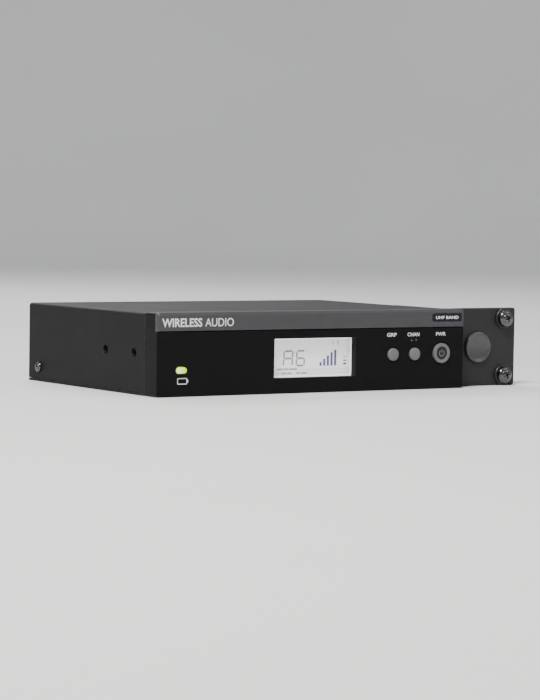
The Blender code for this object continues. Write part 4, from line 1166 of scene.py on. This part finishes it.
def build_level_control(looks):
    """Ribbed knob with a pointer groove on its shaft, and the control's nut."""
    place = on_rear("level_shaft")
    base = (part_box("level_knob")[0].y - REAR) / MM
    reach, shaft_tip = rear_reach("level_knob"), rear_reach("level_shaft")
    steps = KNOB_RIBS * 8
    loops = []
    for height, grow in ((base, -0.2), (base + 0.2, 0.0), (reach - 0.7, 0.0), (reach - 0.35, -0.12),
                         (reach - 0.1, -0.4), (reach, -0.8)):
        loop = []
        for k in range(steps):
            angle = 2 * pi * k / steps
            radius = 5.78 + max(-0.35, cos(KNOB_RIBS * angle)) * 0.22 + grow
            loop.append((radius * cos(angle), radius * sin(angle), height))
        loops.append(mm(*loop))
    knob = formed("knob_ribbed", looks["connector"], place, "rear", add_loft, loops)
    end = shaft_tip + GAP / MM
    hole = mm((0, 0), (2.3, 0), (2.3, end), (0, end))
    carve(knob, tool(place, "rear", add_turned, hole, 48))
    groove = box_outline((0.8 * MM, 5.2 * MM), 0.38 * MM, (0, -3.6 * MM))
    carve(knob, tool(place, "rear", add_prism, groove, (reach - 0.4) * MM, (reach + 1) * MM))
    stand_for(knob, "level_knob", body="level_control")
    line = box_outline((0.55 * MM, 4.6 * MM), 0.25 * MM, (0, -3.6 * MM))
    pointer = formed("knob_pointer", looks["ink"], place, "rear", add_prism, line,
                     (reach - 0.42) * MM, (reach - 0.3) * MM)
    stand_for(pointer, body="level_control")
    shaft = mm((0, -7), (2.0, -7), (2.0, shaft_tip - 0.3), (1.7, shaft_tip), (0, shaft_tip))
    made = turned("shaft_turned", looks["brass"], shaft, place, "rear", 48)
    stand_for(made, "level_shaft", body="level_control")
    low = GAP / MM
    nut = mm((3.8, low), (5.4, low), (5.4, 1.6), (5.1, 1.9), (3.95, 1.9), (3.8, 1.7))
    stand_for(turned("level_ring", looks["nickel"], nut, place, "rear"), "level_nut")


def build_hook(looks):
    """Moulded tie-off hook with soft edges, and its two studs."""
    place = on_rear("cord_hook")
    half = extent("cord_hook").x / 2
    foot = GAP / MM
    outline = rounded(mm((foot, -8), (8.4, -8, 1.6), (8.4, 5, 0.8), (6.6, 5, 0.8), (6.6, -5.8, 0.9),
                         (2, -5.8, 0.9), (2, 8, 0.5), (foot, 8)), 5)
    made = formed("hook_moulded", looks["connector"], place, "sideways", add_prism, outline, -half, half)
    stud = mm((0, -3), (1.1, -3), (1.1, 1), (0, 1))
    carve(made, tool(place, "rear", add_turned, stud, 32, mm((0, -4.5), (0, 4.5))), "UNION")
    soften(made, 0.35 * MM)
    stand_for(made, "cord_hook")


def build_rear_print(looks):
    """Generic letters, words and level ticks on the rear wall."""
    for name, node, word, size, lift in (("antenna_a_letter", "antenna_a_shell", "A", 4, 11.5),
                                         ("antenna_b_letter", "antenna_b_shell", "B", 4, 11.5),
                                         ("level_word", "level_shaft", "LEVEL", 3, 12.5),
                                         ("jack_word", "jack_nut", "LINE OUT", 3, 12.5),
                                         ("dc_word", "dc_pin", "DC IN", 3, 10.5)):
        place = on_rear(node) + Vector((0, 0.5 * PRINT, lift * MM))
        lettering(name, word, size * MM, place, looks["ink"], facing="rear_up")
    ticks = []
    w = 0.16
    for k in range(11):
        angle = radians(90 + 150 - 30 * k)
        inner, outer = 7.4, (8.9 if k % 5 == 0 else 8.3)
        c, s = cos(angle), sin(angle)
        ticks.append(mm((inner * c - w * s, inner * s + w * c), (outer * c - w * s, outer * s + w * c),
                        (outer * c + w * s, outer * s - w * c), (inner * c + w * s, inner * s - w * c)))
    place = on_rear("level_shaft") - Vector((0, 0.5 * PRINT, 0))
    flat_shapes("level_ticks", ticks, looks["ink"], place, "rear_up")


# ---------------------------------------------------------------- CAD pieces that stay

KEPT = {
    "housing_paint": "cover", "bezel_plastic": "bezel", "circuit_board": "board",
    "white_plastic": "white", "plated_steel": "zinc", "black_screw": "screw",
    "nickel_plate": "nickel", "brass_turned": "brass", "connector_plastic": "connector",
    "nylon": "nylon", "strip_paint": "strip", "ear_paint": "ear", "label_film": "label",
    "display_glass": "glass", "lamp_lens": "lamp", "button_plastic": "button",
}


def finish_kept_nodes(looks):
    """Better materials for the CAD pieces that are shown as they are."""
    for name, node in frame["nodes"].items():
        node.data.materials.clear()
        node.data.materials.append(looks[KEPT[SLOTS[name]]])


def build_object():
    looks = make_materials()
    for build in (build_bezel, build_strip, build_strip_words, build_display, build_buttons,
                  build_panel_print, build_lamp, build_cover, build_cover_screws, build_ear,
                  build_ear_screws, build_plug, build_rack_screws):
        build(looks)
    for antenna in ("antenna_a", "antenna_b"):
        build_antenna(antenna, looks)
    for build in (build_xlr, build_jack, build_power_inlet, build_level_control, build_hook,
                  build_rear_print, finish_kept_nodes):
        build(looks)


build_object()
add_room()
add_camera()
